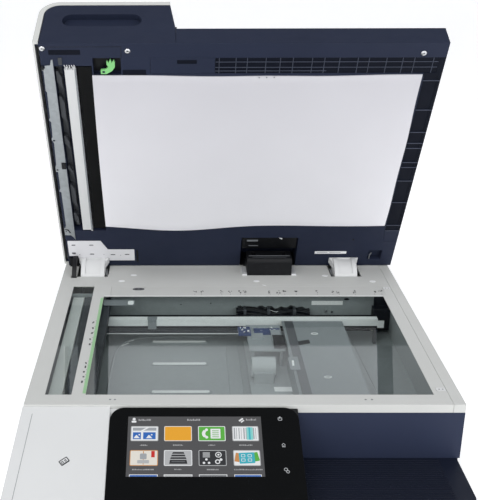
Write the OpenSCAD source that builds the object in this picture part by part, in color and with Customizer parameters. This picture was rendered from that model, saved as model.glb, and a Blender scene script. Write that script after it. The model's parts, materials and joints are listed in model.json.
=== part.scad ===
// Flatbed scanner with a document-feeder lid and a touch console.
//
// Millimetres. X runs to the right, Y to the back and Z up. Shapes are drawn in case coordinates: X = 0 at
// the middle of the case, Y = 0 at the front edge of its top frame and Z = 0 on top of it. seat() then moves
// them so that the origin is the middle of the base plate's underside.
// Everything on the lid is drawn with the lid shut and placed by on_lid(). Lid coordinates are x, s and n:
// s is the distance from the lid's rear edge towards its front edge, n the height above the lid's underside.

/* [Case] */
// Width of the case
case_w = 550; // [549:0.5:551]
// Depth of the case, front to back
case_d = 490; // [485:1:500]
// Height of the case, from the top frame down to the plinth
case_h = 78; // [77:0.5:80]
// Height of the plinth under the case
plinth_h = 20; // [18:1:24]
// Depth of the ribbed ledge in front of the case
ledge_d = 92; // [60:1:100]
// Thickness of the moulded walls
wall = 2.5; // [2:0.1:3]

/* [Glass] */
// Width of the opening over the platen glass
platen_w = 441; // [438:1:443]
// Depth of the opening over the platen glass
platen_d = 300; // [298:1:302]
// Thickness of the platen glass
glass_t = 4; // [3:0.5:4]
// Width of the opening over the narrow feeder glass
slit_w = 33.6; // [32:0.2:34]

/* [Lid] */
// Angle that the lid stands open at
lid_open = 62.7; // [0:0.1:70]
// Length of the lid, rear edge to front edge
lid_len = 457; // [457:1:460]
// Thickness of the lid beside the feeder
lid_t = 33; // [33:1:36]
// Height of the feeder's cover over the lid's underside
feeder_h = 97; // [95:1:100]
// Thickness of the white mat
mat_t = 3; // [2:0.1:3]

/* [Console] */
// Slope of the console below horizontal
console_slope = 24; // [20:1:26]
// Length of the console down its slope
console_len = 150; // [148:1:152]

/* [Hidden] */
$fn = 48;

eps = 0.01;
case_half = case_w / 2;
plate_t = 1.5;
foot_h = 4;
band_h = 11.5;
floor_z = -case_h - plinth_h - plate_t;
seat_y = case_d / 2;

// Top frame, its openings and seams
platen_x0 = -200;
platen_x1 = platen_x0 + platen_w;
platen_y0 = 24;
platen_y1 = platen_y0 + platen_d;
slit_x1 = -218;
slit_x0 = slit_x1 - slit_w;
slit_y1 = 363;
frame_t = 3;
lip_t = 0.8;
lip_w = 4.5;
trim_x = 260;
deck_y = 368;
strip_y = 360;

// Steel pan and what runs in it
pan_x0 = -262;
pan_x1 = 257;
pan_y0 = 8;
pan_y1 = 345;
pan_z = -70;
pan_t = 1.2;
pan_top = -5.4;
rail_z = -25;
rear_rail_y = 292;
front_rail_y = 38;
belt_z = -45;
belt_y = 310;
belt_w = 6;
pulley_r = 7.7;
drive_x = -236;
idler_x = 226;

// Lid hinge
hinge_y = 435;
hinge_z = -14;
pin_r = 4;
knuckle_r = 34;
hinge_gap = 0.6;
left_hinge = [-244.5, -205.5];
right_hinge = [178, 215];

// Lid, shut
lid_rear_y = 426;
lid_z = 3.5;
lid_x0 = -268.5;
lid_x1 = 279;
skin = 3;
feeder_x1 = -93;
top_x0 = -85;
feeder_corner = 30;
feeder_rim = 7.5;
cover_foot = 4;
cover_axis = [-272.5, 7];

// Feeder rollers, as x and n
feed_axis = [-232, 54];
exit_axis = [-112, 42];
pick_pivot = [-165, 72];
pick_axis = [-125, 68];
tray_pin = [-90.3, 57];
tray_tilt = 8;

// Console, in slope coordinates
panel_x0 = -166.5;
panel_x1 = 65.5;
panel_t = 4;
console_x1 = 66;

// ---- Helpers ----

module seat() {
    translate([0, -seat_y, -floor_z]) children();
}

module on_lid() {
    seat()
        translate([0, hinge_y, hinge_z])
            rotate([-lid_open, 0, 0])
                translate([0, -hinge_y, -hinge_z]) children();
}

module box(x0, x1, y0, y1, z0, z1) {
    translate([x0, y0, z0]) cube([x1 - x0, y1 - y0, z1 - z0]);
}

module lid_box(x0, x1, s0, s1, n0, n1) {
    box(x0, x1, lid_rear_y - s1, lid_rear_y - s0, lid_z + n0, lid_z + n1);
}

// A flat outline in x and s, thick from n0 to n1
module lid_sheet(n0, n1) {
    translate([0, lid_rear_y, lid_z + n0]) mirror([0, 1, 0]) linear_extrude(n1 - n0) children();
}

// A cross-section in x and n, long from s0 to s1
module lid_section(s0, s1) {
    translate([0, lid_rear_y - s0, lid_z]) rotate([90, 0, 0]) linear_extrude(s1 - s0) children();
}

// A round bar along s, at [x, n]
module lid_rod(axis, r, s0, s1) {
    translate([axis.x, lid_rear_y - s0, lid_z + axis.y]) rotate([90, 0, 0]) cylinder(r = r, h = s1 - s0);
}

module rod_x(x0, x1, y, z, r) {
    translate([x0, y, z]) rotate([0, 90, 0]) cylinder(r = r, h = x1 - x0);
}

module rod_y(y0, y1, x, z, r) {
    translate([x, y1, z]) rotate([90, 0, 0]) cylinder(r = r, h = y1 - y0);
}

module on_slope() {
    translate([0, -2, -2]) rotate([console_slope, 0, 0]) children();
}

module rounded_rect(x0, x1, y0, y1, r) {
    translate([x0 + r, y0]) square([x1 - x0 - 2 * r, y1 - y0]);
    translate([x0, y0 + r]) square([x1 - x0, y1 - y0 - 2 * r]);
    for (x = [x0 + r, x1 - r], y = [y0 + r, y1 - r]) translate([x, y]) circle(r);
}

// A long hole or pad with round ends, along x
module stadium(x0, x1, y, r) {
    translate([x0 + r, y - r]) square([x1 - x0 - 2 * r, 2 * r]);
    for (x = [x0 + r, x1 - r]) translate([x, y]) circle(r);
}

// ---- Base and case ----

mount_x = 240;
mount_y = 200;
mount_r = 2.75;

module base_plate() color("silver") seat() {
    difference() {
        box(-case_half + 3, case_half - 3, 3, case_d - 3, floor_z, floor_z + plate_t);
        for (x = [-mount_x, mount_x], y = [-mount_y, mount_y])
            translate([x, seat_y + y, floor_z - 1]) cylinder(r = mount_r, h = plate_t + 2);
        for (x = [-150 : 20 : 150])
            translate([0, 0, floor_z - 1]) linear_extrude(plate_t + 2)
                rounded_rect(x, x + 8, 120, 180, 3.5);
    }
}

module rubber_feet() color("dimgray") seat() {
    for (x = [-case_half + 22, case_half - 22], y = [22, case_d - 22])
        translate([x, y, floor_z - foot_h]) cylinder(r = 12, h = foot_h);
}

module plinth_outline(inset) {
    rounded_rect(-case_half + inset, case_half - inset, inset, case_d - inset, 8 - inset);
    rounded_rect(70 + inset, case_half - 4 - inset, -ledge_d + inset, 60, 12 - inset);
}

rib_pitch = 4.4;
rib_w = 1.4;
rib_h = 1;

module plinth() color("midnightblue") seat() {
    top = -case_h;
    difference() {
        translate([0, 0, floor_z + plate_t]) linear_extrude(plinth_h) plinth_outline(0);
        translate([0, 0, floor_z]) linear_extrude(plinth_h + plate_t - wall) plinth_outline(wall);
    }
    for (y = [-ledge_d + 6 : rib_pitch : -4])
        box(74, case_half - 28, y, y + rib_w, top, top + rib_h);
}

module outer_case() color("lightgray") seat() {
    difference() {
        box(-case_half, case_half, wall, case_d, -case_h, -band_h);
        box(-case_half + wall, case_half - wall, 2 * wall, case_d - wall, -case_h - 1, 0);
        for (x = [-200 : 12 : -80])
            translate([x, case_d - wall - 1, -60]) cube([6, wall + 2, 30]);
        box(199, 231, case_d - wall - 1, case_d + 1, -66, -42);
    }
}

module front_cover() color("midnightblue") seat() {
    box(console_x1 + 0.5, case_half, 0, wall, -case_h, -band_h);
}

// ---- Top frame, deck and glass ----

module frame_skirt(x0, x1, y0, y1) {
    box(x0, x1, y0, y1, -band_h, -frame_t);
}

module top_frame() color("gainsboro") seat() {
    difference() {
        union() {
            box(-case_half, trim_x - 0.4, 0, deck_y, -frame_t, 0);
            frame_skirt(-case_half, trim_x - 0.4, 0, wall);
            frame_skirt(-case_half, -case_half + wall, wall, deck_y);
        }
        box(platen_x0, platen_x1, platen_y0, platen_y1, -frame_t - 1, 1);
        box(platen_x0 - lip_w, platen_x1 + lip_w, platen_y0 - lip_w, platen_y1 + lip_w, -frame_t - 1, -lip_t);
        box(slit_x0, slit_x1, platen_y0, slit_y1, -frame_t - 1, 1);
        box(slit_x0 - lip_w, slit_x1 + 0.5, platen_y0 - lip_w, slit_y1 + 3, -frame_t - 1, -lip_t);
        box(-190, platen_x1 + 5, platen_y1 + 5, strip_y, -1.6, 1);
        for (y = clip_at) box(clip_x[0] - 0.2, clip_x[1] + 0.2, y - 0.2, y + clip_d + 0.2, -1.2, 1);
    }
}

module ruler_strip() color("lightgray") seat() {
    box(-189.8, platen_x1 + 4.8, platen_y1 + 5.2, strip_y - 0.3, -1.6, 0);
}

module right_trim() color("gainsboro") seat() {
    box(trim_x, case_half, 0, case_d, -frame_t, 0);
    frame_skirt(trim_x, case_half, 0, wall);
    frame_skirt(case_half - wall, case_half, wall, case_d);
}

module pocket(x0, x1, y0, y1) {
    box(x0, x1, y0, y1, -frame_t - 1, 1);
}

ear_t = 2.5;
flare = 6;
knuckle_front_y = 402.2;

module rear_deck() color("gainsboro") seat() {
    difference() {
        union() {
            box(-case_half, trim_x - 0.4, deck_y + 0.2, case_d, -frame_t, 0);
            frame_skirt(-case_half, -case_half + wall, deck_y + 0.2, case_d);
            frame_skirt(-case_half + wall, trim_x - 0.4, case_d - wall, case_d);
        }
        for (h = [left_hinge, right_hinge])
            pocket(h[0] - flare - 0.8, h[1] + flare + 0.8, knuckle_front_y, 458);
        pocket(-260.5, -250.5, 397, 407);
        pocket(34, 104, 411, 436);
    }
}

module platen_glass() color("powderblue", 0.4) seat() {
    box(platen_x0 - 4, platen_x1 + 4, platen_y0 - 4, platen_y1 + 4, -lip_t - glass_t, -lip_t);
}

module feeder_glass() color("powderblue", 0.4) seat() {
    box(slit_x0 - 4, slit_x1, platen_y0 - 4, slit_y1 + 2.5, -lip_t - 3, -lip_t);
}

clip_x = [247, 259];
clip_at = [33, 350];
clip_d = 8;

module glass_clips() color("white") seat() {
    for (y = clip_at)
        translate([0, 0, -1.2]) linear_extrude(1.4) rounded_rect(clip_x[0], clip_x[1], y, y + clip_d, 1.5);
}

// ---- Inside the case ----

module emboss(x0, x1, y) {
    translate([0, 0, pan_z + pan_t]) linear_extrude(1.4) stadium(x0, x1, y, 5);
}

module base_pan() color("slategray") seat() {
    difference() {
        box(pan_x0, pan_x1, pan_y0, pan_y1 + pan_t, pan_z, pan_top);
        box(pan_x0 + pan_t, pan_x1 - pan_t, pan_y0 + pan_t, pan_y1, pan_z + pan_t, 0);
        rod_y(pan_y1 - 1, pan_y1 + 3, drive_x, belt_z, 6);
        box(101, 127, 288, 297, pan_z - 1, pan_z + 3);
    }
    emboss(-146, -1, 331);
    emboss(-126, -36, 300);
    emboss(-124, -37, 228);
    emboss(-123, -35, 146);
    for (x = [-220, 0, 220], y = [30, 330])
        translate([x, y, -case_h]) cylinder(r = 6, h = case_h + pan_z);
    rod_y(belt_y - 2, pan_y1, idler_x, belt_z, 3);
}

// One pair of rails: a tall face with a flange on top, and a low shelf for the slower carriage
module rail(face_y, outward) {
    face0 = min(face_y, face_y + 1.5 * outward);
    flange0 = min(face_y + 1.5 * outward, face_y + 10 * outward);
    shelf0 = min(face_y, face_y - 8 * outward);
    box(-255, 228, face0, face0 + 1.5, -40, rail_z);
    box(-255, 228, flange0, flange0 + 8.5, rail_z - 1.5, rail_z);
    box(-255, 40, face0, face0 + 1.5, -46.5, -40);
    box(-255, 40, shelf0, shelf0 + 8, -46.5, rail_z - 20);
    for (x = [-255, 224]) box(x, x + 4, flange0 + 1, flange0 + 7.5, pan_z + pan_t, rail_z - 1.5);
    box(228, 238, face0, face0 + 1.5, -40, rail_z - 3);
}

module guide_rails() color("silver") seat() {
    rail(rear_rail_y, 1);
    rail(front_rail_y, -1);
}

module belt_outline(r) {
    translate([drive_x, belt_z - r]) square([idler_x - drive_x, 2 * r]);
    for (x = [drive_x, idler_x]) translate([x, belt_z]) circle(r);
}

module drive_belt() color("black") seat() {
    translate([0, belt_y + belt_w, 0]) rotate([90, 0, 0]) linear_extrude(belt_w) difference() {
        belt_outline(pulley_r + 1.5);
        belt_outline(pulley_r + 0.3);
    }
}

module scan_motor() color("dimgray") seat() {
    difference() {
        union() {
            rod_y(pan_y1 + pan_t, pan_y1 + 30, drive_x, belt_z, 18);
            rod_y(pan_y1 - 1, pan_y1 + pan_t, drive_x, belt_z, 5.8);
        }
        rod_y(pan_y1 - 2, pan_y1 + 32, drive_x, belt_z, 2.55);
    }
}

module pulley(x, bore) {
    difference() {
        union() {
            rod_y(belt_y, belt_y + belt_w, x, belt_z, pulley_r);
            rod_y(belt_y - 1.4, belt_y - 0.4, x, belt_z, pulley_r + 1);
            rod_y(belt_y + belt_w + 0.4, belt_y + belt_w + 1.4, x, belt_z, pulley_r + 1);
            rod_y(belt_y - 1.4, belt_y + belt_w + 3, x, belt_z, 5);
        }
        if (bore > 0) rod_y(belt_y - 3, belt_y + belt_w + 4, x, belt_z, bore);
    }
}

module drive_pulley() color("ivory") seat() {
    pulley(drive_x, 0);
    rod_y(belt_y + belt_w + 3, pan_y1 + 30, drive_x, belt_z, 2.5);
}

module idler_pulley() color("ivory") seat() {
    pulley(idler_x, 3.05);
}

module lens_bracket() color("gray") seat() {
    box(20, 174, 70, 288, -62, -60);
    for (x = [26, 168], y = [76, 282])
        translate([x, y, pan_z + pan_t]) cylinder(r = 4, h = -62 - pan_z - pan_t);
    difference() {
        box(26, 54, 155, 195, -60, -44);
        rod_x(20, 60, 175, -44, 15);
    }
}

module lens_barrel() color("black") seat() {
    difference() {
        rod_x(23, 57, 175, -44, 15);
        rod_x(22, 28, 175, -44, 12);
    }
}

module sensor_board() color("navy") seat() {
    box(22, 75, 203, 287, -34, -32.4);
    for (x = [27, 70], y = [208, 280])
        translate([x, y, -60]) cylinder(r = 2.5, h = 26);
    box(58, 72, 226, 262, -32.4, -28);
    box(28, 46, 238, 256, -32.4, -30.5);
    for (x = [26 : 6 : 50]) box(x, x + 3, 268, 273, -32.4, -31);
}

module optics_cover() color("slategray") seat() {
    box(78, 172, 66, 290, -28.5, -27.3);
    box(170.8, 172, 66, 290, -60, -28.5);
    box(78, 79.2, 66, 200, -60, -28.5);
}

module ribbon_cable() color("darkgray") seat() {
    box(82, 95, 68, 289, -27.3, -26.6);
}

module control_board() color("darkgreen") seat() {
    box(-60, 140, 378, 470, -72, -70.4);
    for (x = [-54, 134], y = [384, 464]) translate([x, y, -case_h]) cylinder(r = 3, h = case_h - 72);
    for (x = [-40 : 36 : 104]) box(x, x + 18, 400, 418, -70.4, -68);
    box(-50, -10, 446, 462, -70.4, -60);
    box(30, 90, 440, 452, -70.4, -62);
}

inlet_x = 215;
inlet_z = -54;

module power_inlet() color("black") seat() {
    difference() {
        union() {
            box(inlet_x - 15.8, inlet_x + 15.8, case_d - 24, case_d, inlet_z - 11.8, inlet_z + 11.8);
            box(inlet_x - 18, inlet_x + 18, case_d, case_d + 2, inlet_z - 14, inlet_z + 14);
        }
        box(inlet_x - 12, inlet_x + 12, case_d - 18, case_d + 3, inlet_z - 8, inlet_z + 8);
    }
    for (x = [inlet_x - 7, inlet_x, inlet_x + 7])
        box(x - 1, x + 1, case_d - 18, case_d - 5, inlet_z - 2.5, inlet_z + 2.5);
}

duct_x0 = 32;
duct_x1 = 106;
duct_front_y = 407;
duct_top_z = 31;
duct_r = 9;

module duct_section(inset) {
    x0 = duct_front_y + inset;
    x1 = 440 - inset;
    top = duct_top_z - inset;
    r = duct_r - inset;
    translate([x0, 0]) square([x1 - x0, top - r]);
    translate([x0 + r, 0]) square([x1 - x0 - r, top]);
    translate([x0 + r, top - r]) circle(r);
}

module harness_duct() color("black") seat() {
    difference() {
        translate([duct_x0, 0, 0]) rotate([90, 0, 90]) linear_extrude(duct_x1 - duct_x0) duct_section(0);
        translate([duct_x0 + 2, 0, -1]) rotate([90, 0, 90])
            linear_extrude(duct_x1 - duct_x0 - 4) duct_section(2);
        for (x = [duct_x0 + 8, duct_x1 - 16]) box(x, x + 8, 415, 436, duct_top_z - 3, duct_top_z + 1);
    }
}

module duct_brackets() color("silver") seat() {
    for (x = [[duct_x0 - 8, duct_x0], [duct_x1, duct_x1 + 8]])
        box(x[0], x[1], duct_front_y, 438, 0, 2.6);
}

// ---- Lid hinges ----

module hinge_bracket(h) {
    for (x = [h[0] - hinge_gap - ear_t, h[1] + hinge_gap])
        difference() {
            box(x, x + ear_t, hinge_y - 13, hinge_y + 13, -case_h, -frame_t - 2);
            rod_x(x - 1, x + ear_t + 1, hinge_y, hinge_z, pin_r);
        }
}

module hinge_brackets() color("silver") seat() {
    hinge_bracket(left_hinge);
    hinge_bracket(right_hinge);
}

module hinge_pins() color("gray") seat() {
    for (h = [left_hinge, right_hinge])
        rod_x(h[0] - hinge_gap - ear_t - 1, h[1] + hinge_gap + ear_t + 1, hinge_y, hinge_z, pin_r);
}

// A knuckle that turns in the deck's pocket: round outside about the hinge pin, with a shallow recess
module hinge_block(h) {
    difference() {
        union() {
            intersection() {
                rod_x(h[0], h[1], hinge_y, hinge_z, knuckle_r);
                box(h[0], h[1], hinge_y - knuckle_r - 1, lid_rear_y, -40, lid_z);
            }
            box(h[0], h[1], lid_rear_y, hinge_y, -20, -2);
            rod_x(h[0], h[1], hinge_y, hinge_z, 10);
        }
        rod_x(h[0] - 1, h[1] + 1, hinge_y, hinge_z, pin_r + 0.05);
        difference() {
            box(h[0] + 7, h[1] - 7, hinge_y - knuckle_r - 1, lid_rear_y - 8, -31, lid_z + 1);
            rod_x(h[0], h[1], hinge_y, hinge_z, knuckle_r - 2.5);
        }
    }
    for (side = [0, 1])
        translate([h[side], lid_rear_y - 8, lid_z]) mirror([1 - side, 0, 0]) rotate([90, 0, 0])
            linear_extrude(11.8) polygon([[0, 0], [flare, 0], [0, -14]]);
}

module hinge_blocks() color("whitesmoke") on_lid() {
    hinge_block(left_hinge);
    hinge_block(right_hinge);
}

arm_r0 = 33;
arm_r1 = 38;

module sensor_arm() color("black") on_lid() {
    intersection() {
        difference() {
            rod_x(-259, -252, hinge_y, hinge_z, arm_r1);
            rod_x(-260, -251, hinge_y, hinge_z, arm_r0);
        }
        box(-259, -252, hinge_y - arm_r1 - 1, hinge_y - 22, -44, lid_z);
    }
    lid_box(-266, -251.2, 0.5, 22, -2.8, 0);
}

// ---- Console ----

// Side view of the console as [y, z], drawn m below its sloping face
module console_side(m, inset) {
    c = cos(console_slope);
    s = sin(console_slope);
    face = -m - inset;
    polygon([
        [-0.2 - inset, -2 + 1.8 * s / c + face / c - inset * 0.45],
        [-2 - (console_len - inset) * c - face * s, -2 - (console_len - inset) * s + face * c],
        [-141 + inset, -72],
        [-136 + inset, -79 + inset * 0.4],
        [-110 + inset * 0.4, -91 + inset],
        [-50, -97 + inset],
        [-0.2 - inset, -97 + inset]
    ]);
}

module along_x(x0, x1) {
    translate([x0, 0, 0]) rotate([90, 0, 90]) linear_extrude(x1 - x0) children();
}

// The wing widens from wing_x[0] at the case to wing_x[1] at its front
wing_x = [-276, -288];

module console_housing() color("whitesmoke") seat() {
    difference() {
        union() {
            intersection() {
                along_x(wing_x[1], panel_x0 - 0.5) console_side(1, 0);
                translate([0, 0, -100]) linear_extrude(110)
                    polygon([[wing_x[0], 0], [wing_x[1], -139], [wing_x[1], -145], [0, -145], [0, 0]]);
            }
            along_x(panel_x0 - 0.5, console_x1) console_side(panel_t, 0);
        }
        along_x(-case_half + wall, panel_x0 - 0.5 - wall) console_side(1, wall);
        along_x(panel_x0 - 0.5 - wall - eps, console_x1 - wall) console_side(panel_t, wall);
    }
}

screen_x0 = -144;
screen_x1 = 19;
screen_d0 = 14;
screen_d1 = 97;
screen_t = 1;

module panel_bezel() color("black") seat() on_slope() {
    difference() {
        translate([0, 0, -panel_t]) linear_extrude(panel_t)
            rounded_rect(panel_x0, panel_x1, -console_len + 2, -1, 18);
        box(screen_x0, screen_x1, -screen_d1, -screen_d0, -screen_t, 1);
    }
}

module display() color("darkslategray") seat() on_slope() {
    box(screen_x0 + 0.2, screen_x1 - 0.2, -screen_d1 + 0.2, -screen_d0 - 0.2, -screen_t, -0.05);
}

// ---- Scanning carriages ----

carriage = [-258, -190, 20, 341];
carriage_z0 = rail_z + 0.3;
carriage_z1 = -10;

module scan_carriage() color("gray") seat() {
    difference() {
        box(carriage[0], carriage[1], carriage[2], carriage[3], carriage_z0, carriage_z1);
        box(carriage[0] + 2, carriage[1] - 2, carriage[2] + 2, carriage[3] - 2,
            carriage_z0 + 2, carriage_z1 - 2);
        box(-251, -231, carriage[2] + 2, carriage[3] - 2, carriage_z1 - 3, 0);
        box(-247, -235, carriage[2] + 4, carriage[3] - 4, carriage_z0 - 1, carriage_z0 + 3);
    }
    box(-204, -194, belt_y, belt_y + belt_w, belt_z + pulley_r + 1.9, carriage_z0);
}

module lamp() color("white") seat() {
    difference() {
        box(-250, -232, carriage[2] + 2, carriage[3] - 2, -14, -9);
        box(-242, -240, carriage[2] + 8, carriage[3] - 8, -15, -8);
    }
}

module carriage_mirror() color("lightcyan") seat() {
    translate([-241, carriage[2] + 2, -18.6]) rotate([0, 45, 0])
        translate([-3.5, 0, -0.6]) cube([7, carriage[3] - carriage[2] - 4, 1.2]);
}

half = [-256, -205, 47, 283];

module half_carriage() color("dimgray") seat() {
    box(half[0], half[1], half[2], half[3], -63, -61);
    for (y = [half[2], half[3] - 2]) box(half[0], half[1], y, y + 2, -61, -30);
    for (y = [39, half[3]]) box(half[0] + 6, half[1] - 6, y, y + 8, -44.6, -42);
}

module fold_mirrors() color("lightcyan") seat() {
    for (m = [[-38, 45], [-54, -45]])
        translate([-246, half[2] + 2, m[0]]) rotate([0, m[1], 0])
            translate([-8, 0, -1]) cube([16, half[3] - half[2] - 4, 2]);
}

// ---- Lid ----

duct_pocket = [22, 116, 70];
channel = [-251.5, -200, 88, 420];
lever_pocket = [-198, -160, 403, 433];
rear_hole = [236, 259, 15, 38];
front_recess = [-120, 270, 407, 433];
side_recess = [255, 275, 60, 401];
lid_screw_at = [[-262, 448], [-150, 444.7], [247, 440.2]];

// A recess in the underside: its walls and floor, or the space inside them
module recess(p, depth) {
    lid_box(p[0] - 1.5, p[1] + 1.5, p[2] - 1.5, p[3] + 1.5, skin - eps, depth + 1.5);
}

module recess_space(p, depth) {
    lid_box(p[0], p[1], p[2], p[3], -1, depth);
}

module lid_base() color("midnightblue") on_lid() {
    difference() {
        union() {
            lid_box(lid_x0, lid_x1, 0, lid_len, 0, skin);
            lid_box(lid_x1 - wall, lid_x1, 0, lid_len, skin - eps, lid_t);
            lid_box(top_x0, lid_x1, lid_len - wall, lid_len, skin - eps, lid_t);
            lid_box(top_x0 - 4, top_x0 + 4, lid_len - 7, lid_len - 4.4, skin - eps, lid_t - 3.2);
            lid_box(top_x0, lid_x1, 0, wall, skin - eps, lid_t);
            lid_box(lid_x0, lid_x0 + wall, 4.5, lid_len - 4.5, skin - eps, 20);
            for (s = [4.4, lid_len - 8])
                lid_box(cover_axis.x, lid_x0 + eps, s, s + 3.6, cover_axis.y - 1.4, cover_axis.y + 1.4);
            for (s = [1.5, lid_len - 8]) lid_rod(cover_axis, 1.5, s, s + 6.5);
            recess(channel, 14);
            recess(lever_pocket, 10);
            recess(rear_hole, 8);
            recess(front_recess, 6);
            recess(side_recess, 6);
            lid_box(duct_pocket[0] - 1.5, duct_pocket[1] + 1.5, 0, duct_pocket[2] + 1.5, skin - eps, 30.3);
        }
        recess_space(channel, 14);
        recess_space(lever_pocket, 10);
        recess_space(rear_hole, 8);
        recess_space(front_recess, 6);
        recess_space(side_recess, 6);
        lid_box(duct_pocket[0], duct_pocket[1], -1, duct_pocket[2], -1, 29);
        for (p = lid_screw_at) lid_sheet(-1, skin + 1) translate(p) circle(2);
    }
    for (x = [front_recess[0] + 12 : 13 : front_recess[1] - 6])
        lid_box(x, x + 1.2, front_recess[2], front_recess[3], 0.6, 6 + eps);
    lid_box(front_recess[0], front_recess[1], 419, 420.2, 1.4, 6 + eps);
    for (s = [side_recess[2] + 14 : 17 : side_recess[3] - 6])
        lid_box(side_recess[0], side_recess[1], s, s + 1.2, 0.6, 6 + eps);
    lid_sheet(1, 10 + eps) translate([-184, 409.3]) circle(2);
}

module lid_top() color("midnightblue") on_lid() {
    difference() {
        lid_box(top_x0, lid_x1 - wall, wall, lid_len - wall, lid_t - wall, lid_t);
        lid_box(-60, 255, 90, 367, lid_t - 1.2, lid_t + 1);
    }
    lid_box(120, 128, 200, 257, lid_t - 1.2, lid_t + 3);
}

// Cross-section of the feeder's outer shape, shrunk by inset
module feeder_shape(inset, low_n, right_x) {
    left_foot = -277 + inset;
    left_top = -275 + inset;
    centre = [-275 + feeder_corner, feeder_h - feeder_corner];
    polygon([
        [left_foot, low_n], [left_top, centre.y], [centre.x, centre.y], [centre.x, feeder_h - inset],
        [right_x, feeder_h - inset], [right_x, low_n]
    ]);
    translate(centre) circle(feeder_corner - inset);
}

module feeder_side_shape() {
    gap = feeder_rim + 1.2;
    difference() {
        feeder_shape(gap, skin, top_x0 - 0.5);
        polygon([[top_x0 - 0.5, lid_t], [-80, lid_t], [-80, feeder_h], [feeder_x1, feeder_h - gap + eps]]);
    }
}

grip = [-241, -132, 53, 14];
grip_d = 9;

module feeder_front() color("midnightblue") on_lid() {
    difference() {
        union() {
            lid_section(lid_len - 4, lid_len) feeder_side_shape();
            lid_section(lid_len - grip_d - 2, lid_len - 4 + eps)
                stadium(grip[0] - 2, grip[1] + 2, grip[2], grip[3] + 2);
        }
        lid_section(lid_len - grip_d, lid_len + 1) stadium(grip[0], grip[1], grip[2], grip[3]);
    }
}

module feeder_rear() color("midnightblue") on_lid() {
    difference() {
        lid_section(0, 4) feeder_side_shape();
        for (x = [-220 : 10 : -140]) lid_box(x, x + 5, -1, 5, 45, 70);
    }
}

cheeks = [[10, 13], [435.8, 438.8]];
chute = [66, 404];

module feed_chassis() color("dimgray") on_lid() {
    difference() {
        union() {
            for (c = cheeks) {
                lid_box(-262, -98, c[0], c[1], skin, 86);
                lid_box(-98 - eps, -84, c[0], c[1], 50, 63);
            }
            lid_box(-204, top_x0 - 0.4, cheeks[0][1], cheeks[1][0], lid_t - wall, lid_t);
            lid_box(-200, -97, chute[0], chute[1], 55, 57);
            for (s = [chute[0], chute[1] - 2]) lid_box(-200, -97, s, s + 2, lid_t, 55);
        }
        lid_rod(feed_axis, 4.05, 5, 445);
        lid_rod(exit_axis, 3.05, 5, 445);
        lid_rod(pick_pivot, 3.05, 5, 445);
    }
    lid_rod(tray_pin, 2, cheeks[0][0], cheeks[1][1]);
}

mat = [-200, 252, 101, 405];

module platen_mat() color("white") on_lid() {
    lid_box(mat[0], mat[1], mat[2], mat[3], -mat_t, 0);
}

module mat_trim() color("black") on_lid() {
    lid_box(-219.5, -200.5, 95, 419, -0.6, 1.4);
    for (s = [96, 417]) lid_box(-219.5, -200.5, s, s + 1.5, 1.4, 14);
}

module backing_bar() color("white") on_lid() {
    lid_box(-237.5, -221.5, 91, 416, -0.8, 0.8);
    for (x = [-237.5, -223]) lid_box(x, x + 1.5, 91, 416, 0.8, 14);
    for (x = [-236, -231, -226]) lid_box(x, x + 2.5, 416, 419, -0.8, 0.8);
    lid_box(-224, -221.5, 88.5, 91, -0.8, 0.8);
}

module guide_plate() color("darkgray") on_lid() {
    lid_sheet(-1.2, 0) difference() {
        polygon([
            [-263.5, 421], [-256, 422], [-254, 431], [-251.8, 431], [-251.8, 67], [-254, 72], [-258.5, 78],
            [-268, 78], [-268, 95], [-265.8, 95], [-265.8, 99], [-264.5, 99], [-264.5, 178], [-267.5, 180],
            [-265.2, 186], [-265.2, 222], [-268.3, 222], [-268.3, 232], [-266.5, 237], [-265.2, 280],
            [-268.3, 288], [-266.2, 292], [-265.2, 321], [-268, 325], [-266, 329], [-265.2, 376],
            [-266.8, 378], [-266, 412], [-268.3, 414], [-268.3, 421], [-266.6, 421], [-266.6, 416.5],
            [-263.5, 416.5]
        ]);
        translate([-265, 87.5]) circle(1.3);
        translate([-265.6, 226]) circle(1.6);
        translate([-264.6, 285.5]) circle(1.8);
        translate([-258.5, 228]) square([7, 13]);
    }
}

module guide_ribs() color("dimgray") on_lid() {
    for (s = [[98, 127], [141, 190], [213, 230], [265, 291], [316, 365], [378, 409]])
        lid_sheet(3, 14)
            polygon([[-243, s[0]], [-243, s[1] - 12], [-247.5, s[1]], [-250, s[1]], [-250, s[0] + 12]]);
    lid_sheet(11, 14) translate([-250.5, 90]) square([8, 326]);
    lid_box(-244.5, -239.5, 422.5, 434, -1, 0);
}

module label_plate() color("whitesmoke") on_lid() {
    lid_sheet(-0.8, 0) polygon([
        [-266, 25.5], [-251, 25.5], [-251, 20.6], [-199, 20.6], [-199, 14], [-156, 14],
        [-156, 41.5], [-200, 41.5], [-211, 63], [-266, 63]
    ]);
}

module lid_screws() color("silver") on_lid() {
    for (p = lid_screw_at) {
        lid_sheet(-1.4, 0) translate(p) circle(4);
        lid_sheet(0, 6) translate(p) circle(1.9);
    }
}

// ---- Feeder ----

module feeder_arch(s0, s1, t) {
    lid_section(s0, s1) difference() {
        feeder_shape(0, cover_foot, feeder_x1);
        feeder_shape(t, 0, feeder_x1 + 1);
    }
}

module feeder_cover() color("gainsboro") on_lid() {
    difference() {
        union() {
            feeder_arch(0, lid_len, wall);
            feeder_arch(0, 4, feeder_rim);
            feeder_arch(lid_len - 4, lid_len, feeder_rim);
        }
        for (s = [1, lid_len - 5]) lid_rod(cover_axis, 1.55, s, s + 4);
    }
}

// The input tray is drawn flat, with u along it from its hinge, and then tilted
tray_s0 = 78;
tray_s1 = 392;
tray_len = 262;

module on_tray() {
    translate([tray_pin.x, 0, lid_z + tray_pin.y]) rotate([0, -tray_tilt, 0])
        translate([0, 0, -2]) children();
}

module tray_box(u0, u1, s0, s1, w0, w1) {
    box(u0, u1, lid_rear_y - s1, lid_rear_y - s0, w0, w1);
}

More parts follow.
